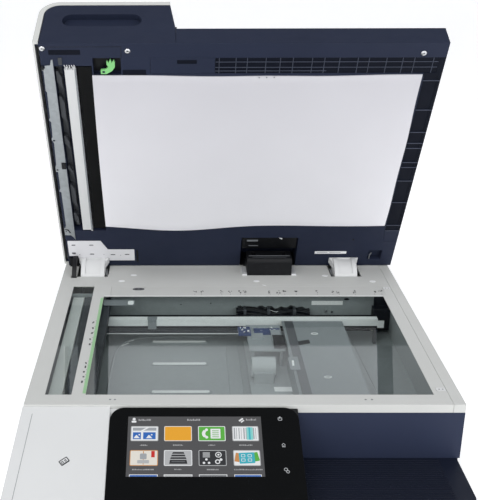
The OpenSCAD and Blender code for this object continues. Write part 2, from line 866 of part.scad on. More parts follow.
module input_tray() color("darkslateblue") on_lid() on_tray() {
    difference() {
        union() {
            tray_box(6, tray_len, tray_s0, tray_s1, 2, 5);
            for (s = [tray_s0, tray_s1 - wall]) tray_box(6, tray_len, s, s + wall, 5, 15);
            for (s = [tray_s0 + 2, tray_s1 - 12]) {
                tray_box(-2, 8, s, s + 10, 0, 5);
                translate([0, lid_rear_y - s, 2]) rotate([90, 0, 0]) cylinder(r = 4, h = 10);
            }
        }
        translate([0, lid_rear_y - tray_s0 + 1, 2]) rotate([90, 0, 0]) cylinder(r = 2.05, h = 320);
        for (s = [[86, 196], [274, 384]]) tray_box(60, 66, s[0], s[1], 1, 6);
        tray_box(tray_len - 30, tray_len + 1, 205, 265, 1, 6);
    }
}

guide_in = 149;
tray_mid = (tray_s0 + tray_s1) / 2;

// One paper guide, on the side of the tray's middle that sign says
module side_guide(sign) {
    a = tray_mid + sign * guide_in;
    b = a + sign * 2.5;
    c = a - sign * 16;
    tray_box(20, 110, min(a, b), max(a, b), 5.3, 22);
    tray_box(30, 100, min(a, c), max(a, c), 5.3, 7);
    tray_box(60.5, 65.5, min(a - sign * 10, a - sign * 2), max(a - sign * 10, a - sign * 2), 0.4, 5.3);
    tray_box(58, 68, min(a - sign * 12, a), max(a - sign * 12, a), -1, 1.6);
}

module front_guide() color("gray") on_lid() on_tray() side_guide(1);

module rear_guide() color("gray") on_lid() on_tray() side_guide(-1);

module sleeved_roller(axis, shaft_r, sleeve_r, sleeves, sleeve_w) {
    lid_rod(axis, shaft_r, 7, cheeks[1][1]);
    for (s = sleeves) lid_rod(axis, sleeve_r, s, s + sleeve_w);
}

module feed_roller() color("dimgray") on_lid() {
    sleeved_roller(feed_axis, 4, 18, [40 : 66 : 370], 40);
}

module exit_roller() color("dimgray") on_lid() {
    sleeved_roller(exit_axis, 3, 7.5, [80 : 90 : 350], 22);
}

arm_s = [[218, 221], [246, 249]];

module pick_arm() color("ivory") on_lid() {
    difference() {
        for (a = arm_s) lid_section(a[0], a[1]) {
            translate(pick_pivot) circle(7);
            translate(pick_axis) circle(6);
            polygon([
                pick_pivot + [0, 6], pick_axis + [0, 5.5], pick_axis - [0, 5.5], pick_pivot - [0, 6]
            ]);
        }
        lid_rod(pick_axis, 2.55, 200, 260);
    }
    lid_rod(pick_pivot, 3, 7, cheeks[1][1]);
}

module pick_roller() color("gray") on_lid() {
    lid_rod(pick_axis, 2.5, 215, 252);
    lid_rod(pick_axis, 10, 222, 245);
}

module release_lever() color("limegreen") on_lid() {
    lid_sheet(0.3, 3.5) difference() {
        polygon([
            [-188, 406], [-180, 406], [-172.5, 411], [-168.5, 417], [-168, 425], [-169.5, 429.5],
            [-172, 424.5], [-174, 431], [-176.2, 424.8], [-179.3, 427.8], [-179.5, 422], [-177, 417.5],
            [-181, 413.5], [-188, 412.5]
        ]);
        translate([-184, 409.3]) circle(2.05);
    }
}

base_plate();
rubber_feet();
plinth();
outer_case();
front_cover();
top_frame();
ruler_strip();
right_trim();
rear_deck();
platen_glass();
feeder_glass();
glass_clips();
base_pan();
guide_rails();
drive_belt();
scan_motor();
lens_bracket();
lens_barrel();
sensor_board();
optics_cover();
ribbon_cable();
control_board();
power_inlet();
harness_duct();
duct_brackets();
hinge_brackets();
hinge_pins();
console_housing();
panel_bezel();
display();
scan_carriage();
lamp();
carriage_mirror();
half_carriage();
fold_mirrors();
drive_pulley();
idler_pulley();
lid_base();
lid_top();
feeder_front();
feeder_rear();
feed_chassis();
platen_mat();
mat_trim();
backing_bar();
guide_plate();
guide_ribs();
label_plate();
hinge_blocks();
sensor_arm();
lid_screws();
feeder_cover();
input_tray();
front_guide();
rear_guide();
feed_roller();
exit_roller();
pick_arm();
pick_roller();
release_lever();
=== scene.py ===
"""The looks of the flatbed scanner: its materials, the soft mat, the panel's graphics and small trim."""

import json
import random
from math import cos, exp, pi, radians, sin, tau

import bmesh
import bpy
from mathutils import Euler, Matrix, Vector


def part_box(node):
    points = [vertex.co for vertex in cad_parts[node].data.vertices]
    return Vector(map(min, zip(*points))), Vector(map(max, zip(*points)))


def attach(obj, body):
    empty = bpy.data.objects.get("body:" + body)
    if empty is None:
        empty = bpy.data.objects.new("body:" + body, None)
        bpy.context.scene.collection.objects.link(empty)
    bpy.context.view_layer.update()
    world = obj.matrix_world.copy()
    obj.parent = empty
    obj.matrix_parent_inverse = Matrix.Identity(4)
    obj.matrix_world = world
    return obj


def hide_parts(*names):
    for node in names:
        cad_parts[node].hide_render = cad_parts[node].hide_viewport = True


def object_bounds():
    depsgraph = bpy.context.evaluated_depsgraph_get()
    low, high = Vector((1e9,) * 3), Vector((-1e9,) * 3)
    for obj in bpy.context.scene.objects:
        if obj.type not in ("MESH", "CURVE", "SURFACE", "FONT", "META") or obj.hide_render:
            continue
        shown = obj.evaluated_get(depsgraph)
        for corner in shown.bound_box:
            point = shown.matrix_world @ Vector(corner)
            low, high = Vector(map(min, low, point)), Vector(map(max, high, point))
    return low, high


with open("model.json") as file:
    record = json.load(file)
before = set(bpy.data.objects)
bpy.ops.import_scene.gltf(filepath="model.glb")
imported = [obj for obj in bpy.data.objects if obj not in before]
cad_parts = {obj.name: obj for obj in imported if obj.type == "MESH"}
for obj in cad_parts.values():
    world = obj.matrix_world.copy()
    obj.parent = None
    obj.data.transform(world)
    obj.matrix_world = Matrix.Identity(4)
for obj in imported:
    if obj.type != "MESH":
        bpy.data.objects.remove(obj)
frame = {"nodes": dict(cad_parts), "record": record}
cad_box = [[float(c) for c in p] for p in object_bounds()]
record = frame["record"]
nodes = frame["nodes"]
MM = 0.001

# ---- Frames of reference, all taken from the record ----

joints = {j["name"]: j for j in record["behaviour"]["joints"]}
X = Vector((1, 0, 0))
FRAME_LOW, FRAME_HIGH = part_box("top_frame")
CASE_ORIGIN = Vector((0, FRAME_LOW.y, FRAME_HIGH.z))
CASE_HALF = (FRAME_HIGH.x - FRAME_LOW.x) / 2 / MM
BACK_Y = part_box("outer_case")[1].y
MAT_LOW, MAT_HIGH = (corner.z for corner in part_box("platen_mat"))
LID_S = Vector(joints["feeder_cover_hinge"]["axis"])
LID_N = Vector(joints["release_lever_pivot"]["axis"])
LEVER_X, LEVER_S, LEVER_N = -184, 409.3, 1  # the release lever's pivot, on the lid
LEVER = X * LEVER_X + LID_S * LEVER_S + LID_N * LEVER_N
LID_ORIGIN = Vector(joints["release_lever_pivot"]["pos_m"]) - LEVER * MM
SLOPE = radians(24)
SLOPE_Y = Vector((0, cos(SLOPE), sin(SLOPE)))
SLOPE_N = Vector((0, -sin(SLOPE), cos(SLOPE)))
SLOPE_EDGE = -2  # the console starts this far ahead of the case's front edge, and as far below its top
TRAY_TILT = radians(8)
TRAY_X, TRAY_N = -90.3, 57  # the tray's hinge, on the lid
TRAY_FLOOR = 3  # the tray's floor, over the hinge


def whole(x, y, z):
    """A point of the whole frame, in millimetres, as all the places below."""
    return Vector((x, y, z)) * MM


def case(x, y, z):
    """A point of the case, from the front edge of its top frame."""
    return CASE_ORIGIN + Vector((x, y, z)) * MM


def rear(x, z, n):
    """A point of the case's back: x to the right, z up, n out of its face."""
    p = case(x, 0, z)
    return Vector((p.x, BACK_Y + n * MM, p.z))


def slope(x, d, n):
    """A point of the console: d down its slope, n above its face."""
    return case(0, SLOPE_EDGE, SLOPE_EDGE) + (X * x - SLOPE_Y * d + SLOPE_N * n) * MM


def lid(x, s, n):
    """A point of the lid: s from its rear edge, n above its underside."""
    return LID_ORIGIN + (X * x + LID_S * s + LID_N * n) * MM


def under(x, s, n):
    """A point of the lid: s from its rear edge, n below its underside."""
    return lid(x, s, -n)


def tray(u, s, w):
    """A point of the input tray: u along it from its hinge, s as on the lid, w over its floor."""
    c, d = cos(TRAY_TILT), sin(TRAY_TILT)
    return lid(TRAY_X + u * c - (w + TRAY_FLOOR) * d, s, TRAY_N + u * d + (w + TRAY_FLOOR) * c)


# ---- Materials ----

GRAIN, GRAIN_DEPTH, EDGE = 2600, 0.00004, 0.0006
DUST = "8f9296"
GLASS_IOR = 1.5
SEAM = 0.05  # half the width of the line between two colours
MIRROR_START, MIRROR_BLEND = 157.5, 0.004  # where the glass begins to mirror fully, and over what length


def linear(code):
    """A hex colour as linear red, green, blue."""
    out = []
    for i in (0, 2, 4):
        c = int(code[i : i + 2], 16) / 255
        out.append(c / 12.92 if c <= 0.04045 else ((c + 0.055) / 1.055) ** 2.4)
    return out


def shade(code, factor=1):
    """A hex colour for a socket, made lighter or darker by a factor."""
    return [min(1, c * factor) for c in linear(code)] + [1]


class Tree:
    """A material's node tree, with short ways to add nodes and join them."""

    def __init__(self, name):
        self.mat = bpy.data.materials.new(name)
        self.mat.use_nodes = True
        self.nodes = self.mat.node_tree.nodes
        self.links = self.mat.node_tree.links
        self.shader = self.nodes["Principled BSDF"]
        self.coords = self.node("ShaderNodeTexCoord", {}, "Object")

    def put(self, target, value):
        """Link a socket to another one, or set its own value."""
        if isinstance(value, bpy.types.NodeSocket):
            self.links.new(value, target)
        else:
            target.default_value = value

    def node(self, kind, sockets, out=0, **values):
        """Add a node, link or set its sockets, and give back one of its outputs."""
        n = self.nodes.new(kind)
        for key, value in values.items():
            setattr(n, key, value)
        for key, value in sockets.items():
            self.put(n.inputs[key], value)
        return n.outputs[out]

    def give(self, sockets):
        """Link or set the shader's sockets, and give back the material."""
        for key, value in sockets.items():
            self.put(self.shader.inputs[key], value)
        return self.mat

    def along(self, axis):
        return self.node("ShaderNodeSeparateXYZ", {0: self.coords}, axis)

    def noise(self, scale, detail=3.0, stretch=(1, 1, 1), offset=0.0):
        moved = {"Vector": self.coords, "Scale": stretch, "Location": [offset] * 3}
        spot = self.node("ShaderNodeMapping", moved, "Vector")
        return self.node("ShaderNodeTexNoise", {"Vector": spot, "Scale": scale, "Detail": detail}, "Fac")

    def span(self, value, low, high, out_low, out_high):
        ends = {"From Min": low, "From Max": high, "To Min": out_low, "To Max": out_high}
        return self.node("ShaderNodeMapRange", {"Value": value, **ends}, "Result")

    def mix(self, factor, a, b):
        return self.node("ShaderNodeMix", {0: factor, 6: a, 7: b}, 2, data_type="RGBA")

    def times(self, a, b):
        return self.node("ShaderNodeMath", {0: a, 1: b}, operation="MULTIPLY")

    def scaled(self, colour, factor):
        return self.node("ShaderNodeVectorMath", {0: colour, "Scale": factor}, operation="SCALE")

    def bump(self, height, distance, strength, over=None):
        sockets = {"Strength": strength, "Distance": distance, "Height": height}
        if over is not None:
            sockets["Normal"] = over
        return self.node("ShaderNodeBump", sockets, "Normal")

    def soft_edge(self, radius):
        return self.node("ShaderNodeBevel", {"Radius": radius}, "Normal", samples=4)


def plastic(
    name, code, rough=0.5, grain=GRAIN, depth=GRAIN_DEPTH, vary=0.05, coat=0, edge=EDGE, dust=0, spec=0.5
):
    """Moulded plastic: fine texture, faint shade variation, handling marks in the gloss and soft edges."""
    t = Tree(name)
    patches = t.span(t.noise(9, 4), 0.3, 0.7, 0, 1)
    colour = t.mix(patches, shade(code, 1 - vary), shade(code, 1 + vary))
    if dust:
        specks = t.span(t.noise(160, 5, offset=3.1), 0.56, 0.72, 0, dust)
        colour = t.mix(specks, colour, shade(DUST))
    marks = t.noise(38, 5, stretch=(1, 1.6, 1), offset=7.7)
    return t.give({
        "Base Color": colour,
        "Roughness": t.span(marks, 0.3, 0.75, rough - 0.07, rough + 0.08),
        "Normal": t.bump(t.noise(grain, 2), depth, 0.6, over=t.soft_edge(edge)),
        "Specular IOR Level": spec,
        "Coat Weight": coat,
        "Coat Roughness": 0.08,
    })


def two_tone(name, left, right, x):
    """A shell moulded in two shots: one colour up to x, in millimetres, and the other beyond it."""
    t = Tree(name)
    step = t.span(t.along("X"), (x - SEAM) * MM, (x + SEAM) * MM, 0, 1)
    patches = t.span(t.noise(9, 4), 0.3, 0.7, 0.985, 1.015)
    return t.give({
        "Base Color": t.scaled(t.mix(step, shade(left), shade(right)), patches),
        "Roughness": t.span(t.noise(38, 5), 0.3, 0.75, 0.36, 0.5),
        "Normal": t.bump(t.noise(GRAIN, 2), GRAIN_DEPTH, 0.6, over=t.soft_edge(EDGE)),
        "Specular IOR Level": 0.35,
    })


def sheet_metal(name, code, rough=0.38, stretch=(1, 22, 22), depth=0.00003, metallic=0.9, spangle=0.08):
    """Plated sheet: drawn lines along its length and a faint crystal pattern."""
    t = Tree(name)
    lines = t.noise(90, 4, stretch=stretch)
    cells = t.node("ShaderNodeTexVoronoi", {"Vector": t.coords, "Scale": 170}, "Color")
    tone = t.span(cells, 0, 1, 0, 1)
    return t.give({
        "Base Color": t.mix(tone, shade(code, 1 - spangle), shade(code, 1 + spangle)),
        "Metallic": metallic,
        "Roughness": t.span(lines, 0.3, 0.7, rough - 0.08, rough + 0.1),
        "Normal": t.bump(lines, depth, 0.5, over=t.soft_edge(0.0003)),
    })


def rubber(name, code, rough=0.75, grain=1500):
    """Rubber: matt, with a fine ground surface and paler worn patches."""
    t = Tree(name)
    worn = t.span(t.noise(60, 4), 0.45, 0.75, 0, 0.5)
    return t.give({
        "Base Color": t.mix(worn, shade(code), shade(code, 1.7)),
        "Roughness": t.span(t.noise(grain, 2), 0.3, 0.7, rough - 0.1, rough + 0.1),
        "Normal": t.bump(t.noise(grain, 3), 0.0001, 0.7, over=t.soft_edge(0.0005)),
        "Specular IOR Level": 0.3,
    })


def clear_glass(name, tint, share, rear_share=1.0):
    """A polished pane: it shows what is below it and mirrors the lid, more so at a flat angle.

    rear_share scales what the rear half of the pane mirrors.
    """
    t = Tree(name)
    t.nodes.remove(t.shader)
    through = t.node("ShaderNodeBsdfTransparent", {"Color": tint})
    smudges = t.span(t.noise(26, 5, stretch=(1, 2, 1)), 0.35, 0.8, 0.005, 0.05)
    gloss = t.node("ShaderNodeBsdfGlossy", {"Color": (0.96, 1.0, 0.99, 1), "Roughness": smudges})
    by_angle = t.span(t.node("ShaderNodeFresnel", {"IOR": GLASS_IOR}), 0, 0.4, 0.05, share)
    front_only = t.span(t.node("ShaderNodeNewGeometry", {}, "Backfacing"), 0, 1, 1, 0)
    start = case(0, MIRROR_START, 0).y
    by_place = t.span(t.along("Y"), start - MIRROR_BLEND, start + MIRROR_BLEND, 1, rear_share)
    amount = t.times(t.times(by_angle, front_only), by_place)
    both = t.node("ShaderNodeMixShader", {0: amount, 1: through, 2: gloss})
    t.put(t.nodes["Material Output"].inputs["Surface"], both)
    return t.mat


def mirror(name):
    """Silvered glass with a thin film of dust."""
    t = Tree(name)
    return t.give({
        "Base Color": t.mix(t.noise(30), shade("c9d2d4"), shade("dfe6e8")),
        "Metallic": 1,
        "Roughness": t.span(t.noise(40), 0.4, 0.8, 0.02, 0.08),
    })


def vinyl(name, low_painted_light_code, high_painted_shade_code):
    """The mat's soft white face: very fine pebble, broad dents, and painted shade: greyer towards the lid's
    free edge and lighter towards its hinge, to even out how the light falls on it.
    """
    t = Tree(name)
    cast = t.span(t.noise(5, 3), 0.3, 0.7, 0.98, 1.02)
    # Painted shade by height: the colour runs from lighter low on the open lid to greyer high up
    height = t.span(t.along("Z"), MAT_LOW, MAT_HIGH, 0, 1)
    broad = t.bump(t.noise(14, 2, offset=5.0), 0.0006, 0.5)
    return t.give({
        "Base Color": t.scaled(t.mix(height, shade(low_painted_light_code), shade(high_painted_shade_code)), cast),
        "Roughness": t.span(t.noise(30, 4), 0.3, 0.7, 0.5, 0.64),
        "Normal": t.bump(t.noise(1900, 2), 0.00003, 0.5, over=broad),
        "Sheen Weight": 0.08,
        "Sheen Roughness": 0.5,
    })


def printed(name, code):
    """A flat ink with a slightly uneven tone."""
    t = Tree(name)
    grain = t.span(t.noise(700, 2), 0.3, 0.7, 0, 1)
    return t.give({"Base Color": t.mix(grain, shade(code, 0.95), shade(code, 1.05)), "Roughness": 0.35})


def board(name, code):
    """A circuit board: solder mask with faint copper tracks under it."""
    t = Tree(name)
    tones = {key: shade(code, factor) for key, factor in (("Color1", 1), ("Color2", 1.5), ("Mortar", 0.6))}
    tracks = t.node("ShaderNodeTexBrick", {"Vector": t.coords, "Scale": 130, **tones}, "Color").node
    return t.give({
        "Base Color": tracks.outputs["Color"],
        "Roughness": t.span(t.noise(90), 0.3, 0.7, 0.3, 0.42),
        "Normal": t.bump(tracks.outputs["Fac"], 0.00003, 0.6),
    })


def lit(name, code, glow=0.72):
    """A shape on the display: the colour glows through a dark, smooth front with a fine pixel grain."""
    t = Tree(name)
    grain = t.span(t.noise(2400, 2), 0.3, 0.7, 0, 1)
    return t.give({
        "Base Color": t.mix(grain, shade(code, 0.1), shade(code, 0.14)),
        "Emission Color": t.mix(grain, shade(code, 0.96), shade(code, 1.04)),
        "Emission Strength": glow,
        "Roughness": 0.22,
        "Specular IOR Level": 0.2,
    })


LOOKS = {
    "light_plastic": plastic("light_plastic", "cbccc9", 0.5, vary=0.02, spec=0.35),
    "strip_plastic": plastic("strip_plastic", "c8c9c6", 0.42, grain=1800, vary=0.03, spec=0.35),
    "white_plastic": plastic("white_plastic", "d9dada", 0.42, vary=0.015, spec=0.35),
    "navy_plastic": plastic("navy_plastic", "242a3c", 0.55, vary=0.05, depth=0.00005, spec=0.14),
    "black_plastic": plastic("black_plastic", "101114", 0.42, vary=0.1, dust=0.02, spec=0.25),
    "gloss_black": plastic("gloss_black", "040506", 0.16, grain=500, depth=0.000003, edge=0.0004, spec=0.14),
    "screen": lit("screen", "5c5c5e", 0.66),
    "plate_glass": clear_glass("plate_glass", (0.965, 0.985, 0.975, 1), 0.64, 0.24),
    "zinc_steel": sheet_metal("zinc_steel", "a5aaad", 0.42),
    "pan_steel": sheet_metal("pan_steel", "8b9193", 0.5, metallic=0.15, spangle=0.04),
    "bright_steel": sheet_metal("bright_steel", "cfd0d2", 0.25, stretch=(1, 1, 1), metallic=1.0),
    "motor_steel": sheet_metal("motor_steel", "3a3b3e", 0.45, metallic=0.6),
    "foot_rubber": rubber("foot_rubber", "26262a"),
    "belt_rubber": rubber("belt_rubber", "1d1d20", grain=900),
    "roller_rubber": rubber("roller_rubber", "3a3b3f"),
    # The mat's two colours: painted light low down, painted shade high up
    "mat_foam": vinyl("mat_foam", "ecebef", "c2c1c6"),
    "dark_plastic": plastic("dark_plastic", "34373c", 0.5, vary=0.1),
    "grey_plastic": plastic("grey_plastic", "7d8286", 0.48, vary=0.06),
    "ivory_plastic": plastic("ivory_plastic", "d8d4c4", 0.45),
    "lamp_plastic": plastic("lamp_plastic", "b4b7b6", 0.35),
    "mirror_glass": mirror("mirror_glass"),
    "board_blue": board("board_blue", "22345e"),
    "board_green": board("board_green", "1d5a36"),
    "green_plastic": plastic("green_plastic", "7fc47a", 0.35, vary=0.04, coat=0.2),
}
# A lighter, nearly matt copy of the zinc steel, for the guide rails and the pan's pressings: painted light
# standing in for light that the inside of the well does not get
RAIL_PAINTED_LIGHT = sheet_metal("rail_steel_painted_light", "dfe1e2", 0.45, metallic=0.1, spangle=0.03)
# Nodes that look different from the rest of their slot
NODE_LOOKS = {
    # The rails in the lighter steel: painted light
    "guide_rails": RAIL_PAINTED_LIGHT,
    "optics_cover": sheet_metal("cover_steel", "7e8487", 0.5, metallic=0.15, spangle=0.04),
    "sensor_board": sheet_metal("shield_steel", "8d9396", 0.5, metallic=0.15, spangle=0.04),
    "lens_bracket": sheet_metal("bracket_steel", "9aa0a2", 0.45, metallic=0.15, spangle=0.04),
    "ribbon_cable": plastic("ribbon_grey", "46494d", 0.45, vary=0.05),
    "backing_bar": plastic("bar_white", "cccdcd", 0.42, vary=0.015, spec=0.35),
    "duct_brackets": sheet_metal("clip_steel", "dcdee0", 0.4, metallic=0.2, spangle=0.04),
    "lens_barrel": plastic("barrel_grey", "a2a7a9", 0.4, vary=0.06),
    "mat_trim": plastic("trim_black", "090a0b", 0.6, vary=0.1, spec=0.12),
    "front_cover": plastic("cover_navy", "2c3348", 0.5, vary=0.05, depth=0.00005, spec=0.16),
    # The label plate: a lighter copy of the white plastic, painted light where the open lid shades it
    "label_plate": plastic("label_white_painted_light", "e1e1e4", 0.4, vary=0.01, spec=0.35),
    # The plinth: a darker copy of the navy, painted shade on its ribbed ledge
    "plinth": plastic("plinth_navy_painted_shade", "161b2a", 0.5, vary=0.05, spec=0.2),
    "console_housing": two_tone("console_shell", "d2d3d3", "101113", -100),
}
for part in record["subparts"]:
    mesh = nodes[part["node"]].data
    mesh.materials.clear()
    mesh.materials.append(NODE_LOOKS.get(part["node"], LOOKS[part["material_slot"]]))

# ---- Mesh helpers ----

OFF_AXIS = Vector((0.13, 0.29, 0.95))  # no wire runs this way
INK = 0.05  # how far printing stands out


class Piece:
    """One object gathered from many closed solids. place maps its own three numbers to a point.

    Its look is its slot's own, or another one for all of it or for some of its solids.
    """

    def __init__(self, name, place, body, slot_name, look=None):
        self.name, self.place, self.body = name, place, body
        self.slot_name = slot_name
        self.looks = [look or LOOKS[slot_name]]
        self.bm = bmesh.new()

    def index(self, look):
        if look is None:
            return 0
        if look not in self.looks:
            self.looks.append(look)
        return self.looks.index(look)

    def solid(self, rings, look=None):
        """A closed solid through rings of points that match one for one."""
        loops = [[self.bm.verts.new(self.place(*p)) for p in ring] for ring in rings]
        faces = [self.bm.faces.new(loops[0]), self.bm.faces.new(list(reversed(loops[-1])))]
        for low, high in zip(loops, loops[1:]):
            for i, a in enumerate(low):
                b = (i + 1) % len(low)
                faces.append(self.bm.faces.new((low[b], a, high[i], high[b])))
        for f in faces:
            f.material_index = self.index(look)
        return faces

    def plate(self, outline, n0, n1, look=None, soft=0.0):
        """A flat outline from n0 to n1, its top edge drawn in by soft."""
        rings = [[(x, y, n0) for x, y in outline]]
        if soft:
            rings.append([(x, y, n1 - soft) for x, y in outline])
            rings.append([(x, y, n1) for x, y in inset(outline, soft)])
        else:
            rings.append([(x, y, n1) for x, y in outline])
        return self.solid(rings, look)

    def block(self, x0, x1, y0, y1, n0, n1, look=None, soft=0.0):
        return self.plate([(x0, y0), (x1, y0), (x1, y1), (x0, y1)], n0, n1, look, soft)

    def tube(self, path, r, look=None, sides=8):
        """A round wire along a path of the piece's own points."""
        points = [Vector(p) for p in path]
        turns = [tau * k / sides for k in range(sides)]
        rings = []
        for i, p in enumerate(points):
            ahead = (points[min(i + 1, len(points) - 1)] - points[max(i - 1, 0)]).normalized()
            side = ahead.cross(OFF_AXIS).normalized()
            up = side.cross(ahead)
            rings.append([tuple(p + (side * cos(a) + up * sin(a)) * r) for a in turns])
        return self.solid(rings, look)

    def stud(self, x, z, wide, high, steps, y0, y1, look=None):
        """A round stud on an upright wall, from y0 to y1."""
        self.solid([[(px, y, pz) for px, pz in oval(x, z, wide, high, steps)] for y in (y0, y1)], look)

    def screw(self, x, y, levels, steps, slot, turns):
        """A screw head: its radius and height at each level, and its cross's length, width and height."""
        self.solid([[(px, py, n) for px, py in disc(x, y, r, steps)] for r, n in levels])
        for turn in turns:
            mark(self, x, y, *slot, BLACK, 0.12, turn, 0.1)

    def ring(self, outline, width, n0, n1, look=None):
        """The band between an outline and the same outline drawn in by width."""
        inner = inset(outline, width)
        for i in range(len(outline)):
            j = (i + 1) % len(outline)
            self.plate([outline[i], outline[j], inner[j], inner[i]], n0, n1, look)

    def done(self, smooth_angle=None):
        bmesh.ops.recalc_face_normals(self.bm, faces=self.bm.faces)
        mesh = bpy.data.meshes.new(self.name)
        self.bm.to_mesh(mesh)
        self.bm.free()
        obj = bpy.data.objects.new(self.name, mesh)
        bpy.context.scene.collection.objects.link(obj)
        for look in self.looks:
            mesh.materials.append(look)
        if smooth_angle is not None:
            mesh.shade_smooth()
            mesh.set_sharp_from_angle(angle=radians(smooth_angle))
        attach(obj, self.body)
        return obj


def inset(outline, d):
    """An outline drawn in by d, for outlines that turn anticlockwise or clockwise."""
    area = sum(a[0] * b[1] - b[0] * a[1] for a, b in zip(outline, outline[1:] + outline[:1]))
    side = 1 if area > 0 else -1
    out = []
    for i, p in enumerate(outline):
        a = Vector(p) - Vector(outline[i - 1])
        b = Vector(outline[(i + 1) % len(outline)]) - Vector(p)
        na, nb = (Vector((-v.y, v.x)).normalized() * side for v in (a, b))
        m = (na + nb).normalized()
        out.append(tuple(Vector(p) + m * d / max(0.35, m.dot(na))))
    return out


def rounded(x0, x1, y0, y1, r, steps=5):
    """A rectangle with round corners."""
    out = []
    left, right, low, high = x0 + r, x1 - r, y0 + r, y1 - r
    for cx, cy, start in ((right, high, 0), (left, high, 90), (left, low, 180), (right, low, 270)):
        for k in range(steps + 1):
            a = radians(start + 90 * k / steps)
            out.append((cx + r * cos(a), cy + r * sin(a)))
    return out


def oval(x, y, wide, high, steps=20):
    """An oval by its half width and half height."""
    turns = [tau * k / steps for k in range(steps)]
    return [(x + wide * cos(a), y + high * sin(a)) for a in turns]


def disc(x, y, r, steps=20):
    return oval(x, y, r, r, steps)


def slabs(name, place, body, slot_name, rows, look=None):
    """A piece of plain blocks: x0, x1, y0, y1, n0 and n1, and where they differ a look and a soft edge."""
    piece = Piece(name, place, body, slot_name, look)
    for row in rows:
        piece.block(*row)
    piece.done()


# ---- The mat ----


def mat_outline():
    """The face sheet's edge, wavy as a well-used sheet is: its middle sags and its corners pull."""
    left, right, low, high = -200.0, 252.0, 101.0, 405.0
    wide, tall = right - left, high - low
    out = []
    for u in (k / 60 for k in range(61)):
        sag = 10.5 * exp(-(((u - 0.27) / 0.2) ** 2))
        out.append((left + wide * u, low - sag - 1.4 * sin(9 * u)))
    for u in (k / 40 for k in range(1, 41)):
        out.append((right + 1.2 * sin(pi * u) + 0.5 * sin(13 * u), low + tall * u))
    for u in (k / 60 for k in range(1, 61)):
        out.append((right - wide * u, high - 2.6 * sin(pi * u) + 0.5 * sin(17 * u)))
    for u in (k / 40 for k in range(1, 40)):
        out.append((left - 0.8 * sin(pi * u), high - tall * u))
    return out


def dent(x, s):
    """How far the mat's face swells or sinks at a point."""
    broad = 0.28 * sin(x / 47 + 1.3) * sin(s / 61 + 0.4)
    return broad + 0.12 * sin(x / 19) * sin(s / 23)


def build_mat():
    """A foam-backed sheet: a grid stretched to the outline, softly dented and rounded over at the rim."""
    across, up = 90, 60
    back, face = 0.05, 2.75
    rim_crown = (0.55, 0.85, 0.97)
    outline = mat_outline()
    bottom, right = outline[:61], outline[60:101]
    top, left = outline[100:161], outline[160:] + outline[:1]

    def along(edge, u):
        f = u * (len(edge) - 1)
        i = min(int(f), len(edge) - 2)
        return Vector(edge[i]).lerp(Vector(edge[i + 1]), f - i)

    def spot(u, v):
        b, t = along(bottom, u), along(top, 1 - u)
        l, r = along(left, 1 - v), along(right, v)
        corners = (
            Vector(bottom[0]) * (1 - u) * (1 - v)
            + Vector(right[0]) * u * (1 - v)
            + Vector(top[0]) * u * v
            + Vector(left[0]) * (1 - u) * v
        )
        return b * (1 - v) + t * v + l * (1 - u) + r * u - corners

    piece = Piece("mat_face", under, "lid", "mat_foam")
    grid = {}
    for side in (0, 1):
        for i in range(across + 1):
            for j in range(up + 1):
                p = spot(i / across, j / up)
                rim = min(i, j, across - i, up - j)
                if side:
                    n = back
                elif rim < len(rim_crown):
                    n = face * rim_crown[rim]
                else:
                    n = face + dent(p.x, p.y)
                grid[side, i, j] = piece.bm.verts.new(under(p.x, p.y, n))
    for i in range(across):
        for j in range(up):
            for side in (0, 1):
                corners = ((i, j), (i + 1, j), (i + 1, j + 1), (i, j + 1))
                piece.bm.faces.new([grid[side, a, b] for a, b in corners])
    ring = (
        [(i, 0) for i in range(across)]
        + [(across, j) for j in range(up)]
        + [(i, up) for i in range(across, 0, -1)]
        + [(0, j) for j in range(up, 0, -1)]
    )
    for a, b in zip(ring, ring[1:] + ring[:1]):
        piece.bm.faces.new((grid[0, *a], grid[0, *b], grid[1, *b], grid[1, *a]))
    obj = piece.done(60)
    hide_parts("platen_mat")


build_mat()

# ---- Inks and small finishes ----

DARK_INK = printed("dark_ink", "2b2c2f")
GREY_INK = printed("grey_ink", "75787c")
PALE_INK = printed("pale_ink", "ecedee")
GREEN_INK = printed("green_ink", "98c594")
KEY_INK = printed("key_ink", "a3a5a7")
# A darker copy of the navy for the lid's recess floors and slots: painted shade
RECESS_SHADE_NAVY = plastic("recess_navy_painted_shade", "0d111c", 0.6, vary=0.08, spec=0.1)
# A lighter navy for the lid's ribs: painted highlights
RIB_HIGHLIGHT_NAVY = plastic("rib_navy_painted_highlight", "3a4050", 0.42, vary=0.1, spec=0.4)
SILVER = LOOKS["bright_steel"]
BLACK = LOOKS["black_plastic"]
WHITE = LOOKS["white_plastic"]
GREY = LOOKS["grey_plastic"]
UI_CODES = {
    "white": "f3f5f7", "blue": "3a6fc0", "orange": "f3ae38", "green": "62b84c", "aqua": "8fdcd8",
    "bars": "a9adb2", "tan": "d0945e", "cream": "eee9df", "red": "cf3631", "silver": "bcbec0",
    "dark": "3a3b3e", "slate": "6f7276", "teal": "47b7c8", "text": "b6b7b9",
}
UI = {name: lit("ui_" + name, code) for name, code in UI_CODES.items()}


def mark(piece, x, y, w, h, n, look=None, t=INK, turn=0.0, r=None):
    """A small flat patch, w by h, turned by some degrees about its middle."""
    outline = rounded(-w / 2, w / 2, -h / 2, h / 2, min(w, h) * 0.3 if r is None else r, 3)
    c, d = cos(radians(turn)), sin(radians(turn))
    piece.plate([(x + px * c - py * d, y + px * d + py * c) for px, py in outline], n, n + t, look)


# ---- The panel's display, keys and card mark ----

GLASS, TILE, OVER = -0.05, 0.03, 0.06  # levels: the display's glass, a tile's top, a shape on a tile
COLUMNS = ((-140, -106.5), (-99.5, -66), (-58.4, -25.4), (-17.2, 14.8))
ROWS = ((28, 49), (61.5, 82.6))


